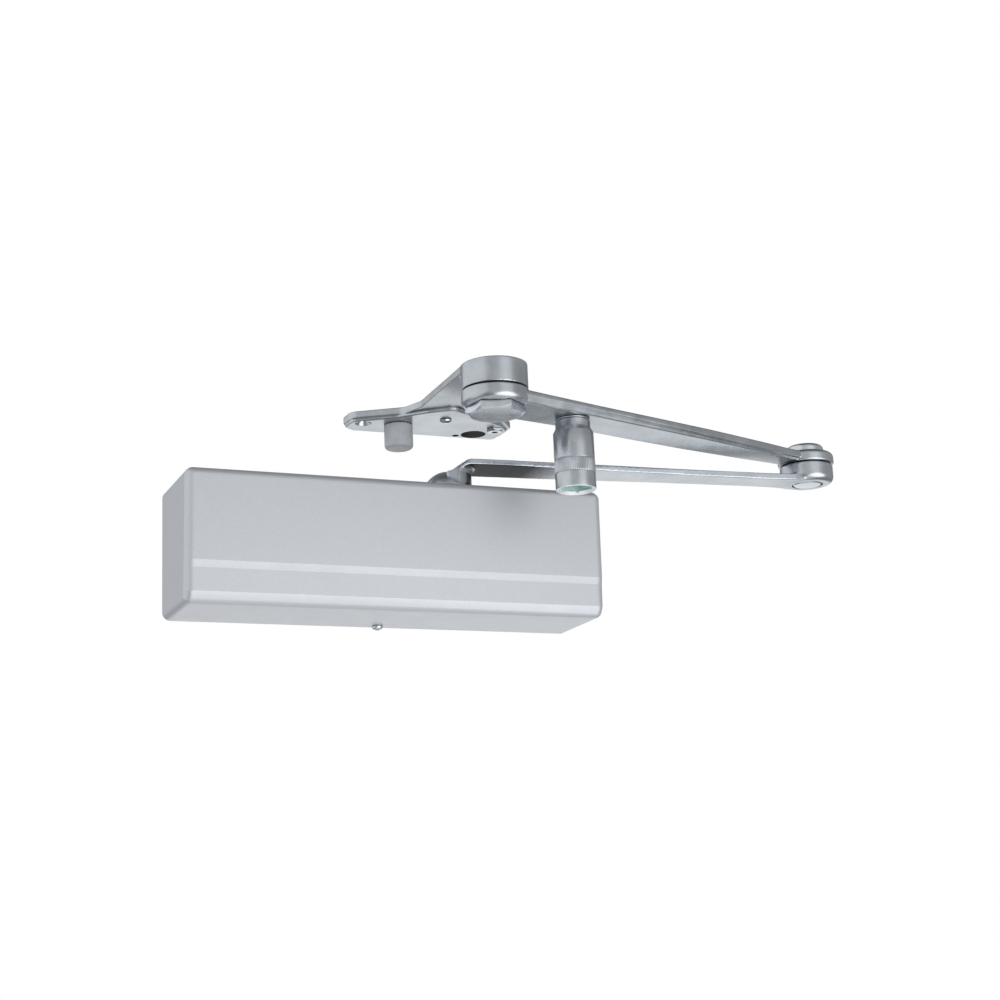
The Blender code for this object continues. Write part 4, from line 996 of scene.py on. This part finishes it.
def make_spring(material):
    """The closing spring, coiled finely, with a closed turn at each end."""
    low, high = (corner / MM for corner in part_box("closing_spring"))
    centre_y, centre_z = (low.y + high.y) / 2, (low.z + high.z) / 2
    coil = (high.y - low.y) / 2 - SPRING_WIRE
    start, end = low.x + SPRING_WIRE, high.x - SPRING_WIRE
    closed = 2 * SPRING_WIRE + 0.2
    steps, sides = 48, 16
    solid = bmesh.new()
    rings = []
    for step in range(SPRING_TURNS * steps + 1):
        turn = step / steps
        if turn < 1:
            along = start + closed * turn
        elif turn > SPRING_TURNS - 1:
            along = end - closed * (SPRING_TURNS - turn)
        else:
            along = start + closed + (end - start - 2 * closed) * (turn - 1) / (SPRING_TURNS - 2)
        angle = 2 * math.pi * turn
        ring = []
        for side in range(sides):
            around = 2 * math.pi * side / sides
            radius = coil + SPRING_WIRE * math.cos(around)
            y = centre_y + radius * math.cos(angle)
            z = centre_z + radius * math.sin(angle)
            ring.append(solid.verts.new(to_axis(y, z, along + SPRING_WIRE * math.sin(around), "X")))
        rings.append(ring)
    for first, second in zip(rings, rings[1:]):
        for side in range(sides):
            after = (side + 1) % sides
            solid.faces.new((first[side], first[after], second[after], second[side]))
    solid.faces.new(reversed(rings[0]))
    solid.faces.new(rings[-1])
    bmesh.ops.recalc_face_normals(solid, faces=solid.faces)
    spring = add_object("closing_spring_coil", solid)
    finish_piece(spring, "closer", ["closing_spring"], material)
    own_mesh(spring)
    return spring


# Carried-over CAD nodes


def dress_frame(finishes):
    """Give every CAD node the finish of its material slot."""
    for entry in frame["record"]["subparts"]:
        node = frame["nodes"][entry["node"]]
        node.data.materials.clear()
        node.data.materials.append(finishes[entry["material_slot"]])


# Studio


def make_camera():
    azimuth, elevation, roll = CAMERA_AZIMUTH, CAMERA_ELEVATION, CAMERA_ROLL
    back = Vector(
        (
            math.sin(azimuth) * math.cos(elevation),
            -math.cos(azimuth) * math.cos(elevation),
            math.sin(elevation),
        )
    )
    across = Vector((0.0, 0.0, 1.0)).cross(back).normalized()
    up = back.cross(across)
    tilted_across = across * math.cos(roll) + up * math.sin(roll)
    tilted_up = up * math.cos(roll) - across * math.sin(roll)
    turn = Matrix((tilted_across, tilted_up, back)).transposed()
    data = bpy.data.cameras.new("camera")
    data.sensor_width = 36.0
    data.lens = CAMERA_LENS
    data.clip_start = 0.05
    data.clip_end = 20.0
    camera = bpy.data.objects.new("camera", data)
    place = (Vector(CAMERA_TARGET) + back * CAMERA_DISTANCE) * MM
    camera.matrix_world = Matrix.Translation(place) @ turn.to_4x4()
    bpy.context.scene.collection.objects.link(camera)
    bpy.context.scene.camera = camera


def make_floor():
    """A pale round floor below the closer, with a little glow of its own to keep it pale."""
    radius = 0.5
    centre = (0.1, -0.08, -0.65)
    glow = 0.45
    solid = bmesh.new()
    bmesh.ops.create_circle(solid, cap_ends=True, segments=96, radius=radius)
    bmesh.ops.translate(solid, verts=solid.verts, vec=centre)
    floor = add_object("floor", solid)
    finish = Finish("floor_paint", (0.82, 0.82, 0.82), 0.7, 0.0)
    finish.vary_color(finish.noise(4.0), 0.99, 1.01)
    finish.shader.inputs["Emission Color"].default_value = (0.97, 0.98, 1.0, 1.0)
    finish.shader.inputs["Emission Strength"].default_value = glow
    floor.data.materials.append(finish.material)


def make_world():
    """White behind the object; round it, soft panels and darker gaps that the metal reflects."""
    world = bpy.data.worlds.new("studio")
    bpy.context.scene.world = world
    world.use_nodes = True
    nodes, links = world.node_tree.nodes, world.node_tree.links
    nodes.clear()
    direction = nodes.new("ShaderNodeTexCoord").outputs["Generated"]
    level = None
    base = 0.30
    # Each panel: azimuth and elevation of its middle, cosines where it ends and is full, brightness
    panels = [
        (-5.0, 14.0, 0.50, 0.906, 0.42),
        (22.0, -36.0, 0.79, 0.88, 1.95),
        (75.0, 5.0, 0.60, 0.98, 0.18),
        (157.0, -16.0, 0.86, 0.965, 0.78),
        (-105.0, 12.0, 0.45, 0.743, 0.75),
        (0.0, 90.0, 0.50, 0.90, -0.14),
    ]
    for azimuth, elevation, edge, full, brightness in panels:
        a, e = math.radians(azimuth), math.radians(elevation)
        middle = (math.sin(a) * math.cos(e), -math.cos(a) * math.cos(e), math.sin(e))
        dot = nodes.new("ShaderNodeVectorMath")
        dot.operation = "DOT_PRODUCT"
        links.new(direction, dot.inputs[0])
        dot.inputs[1].default_value = middle
        fade = nodes.new("ShaderNodeMapRange")
        fade.interpolation_type = "SMOOTHSTEP"
        fade.inputs["From Min"].default_value = edge
        fade.inputs["From Max"].default_value = full
        fade.inputs["To Min"].default_value = 0.0
        fade.inputs["To Max"].default_value = brightness
        links.new(dot.outputs["Value"], fade.inputs["Value"])
        add = nodes.new("ShaderNodeMath")
        add.operation = "ADD"
        links.new(fade.outputs["Result"], add.inputs[0])
        if level is None:
            add.inputs[1].default_value = base
        else:
            links.new(level, add.inputs[1])
        level = add.outputs["Value"]
    room = nodes.new("ShaderNodeBackground")
    room.inputs["Color"].default_value = (0.98, 0.99, 1.0, 1.0)
    links.new(level, room.inputs["Strength"])
    backdrop = nodes.new("ShaderNodeBackground")
    backdrop.inputs["Color"].default_value = (1.0, 1.0, 1.0, 1.0)
    backdrop.inputs["Strength"].default_value = 1.0
    seen = nodes.new("ShaderNodeLightPath")
    mix = nodes.new("ShaderNodeMixShader")
    links.new(seen.outputs["Is Camera Ray"], mix.inputs["Fac"])
    links.new(room.outputs["Background"], mix.inputs[1])
    links.new(backdrop.outputs["Background"], mix.inputs[2])
    output = nodes.new("ShaderNodeOutputWorld")
    links.new(mix.outputs["Shader"], output.inputs["Surface"])


def add_area(name, azimuth, elevation, distance, size, power):
    """A soft panel light that faces the object from a direction round it."""
    a, e = math.radians(azimuth), math.radians(elevation)
    away = Vector((math.sin(a) * math.cos(e), -math.cos(a) * math.cos(e), math.sin(e)))
    data = bpy.data.lights.new(name, "AREA")
    data.shape = "SQUARE"
    data.size = size
    data.energy = power
    light = bpy.data.objects.new(name, data)
    light.location = Vector((0.1, -0.05, 0.04)) + away * distance
    light.rotation_mode = "QUATERNION"
    light.rotation_quaternion = (-away).to_track_quat("-Z", "Y")
    bpy.context.scene.collection.objects.link(light)


def make_studio():
    make_camera()
    make_world()
    make_floor()
    add_area("key", 15.0, 10.0, 1.8, 1.2, 1.5)
    bpy.context.scene.view_settings.view_transform = "Standard"


def make_all():
    finishes = {
        "silver_paint": silver_paint(),
        "cast_aluminium": cast_aluminium(),
        "satin_zinc": satin_zinc(),
        "bright_steel": bright_steel(),
        "plated_knob": plated_knob(),
        "spring_steel": spring_steel(),
        "grey_rubber": grey_rubber(),
        "black_seal": black_seal(),
        "bearing_bronze": bearing_bronze(),
    }
    dress_frame(finishes)
    painted_shade = painted_shade_finish()
    # The pivot's washer takes the painted shade, dark for the shade in its seam, in place of its bearing bronze.
    washer = frame["nodes"]["pivot_washer"].data.materials
    washer.clear()
    washer.append(painted_shade)
    make_cover(finishes["silver_paint"], *centre_of("cover_screw"))
    make_cover_screw(finishes["bright_steel"])
    make_main_arm(finishes["satin_zinc"], shaded_zinc())
    make_forearm(finishes["satin_zinc"])
    make_elbow_parts(finishes["bright_steel"])
    make_hub_fasteners(finishes["bright_steel"])
    make_pivot_bolt(finishes["bright_steel"])
    make_knob(finishes["plated_knob"], teal_plating(), painted_highlight_rim())
    make_knob_stud(finishes["plated_knob"])
    make_bracket(finishes["satin_zinc"], painted_shade)
    make_bracket_screw(finishes["bright_steel"])
    make_insert(finishes["bright_steel"])
    make_bumper(finishes["grey_rubber"])
    make_spring(finishes["spring_steel"])
    make_studio()


make_all()
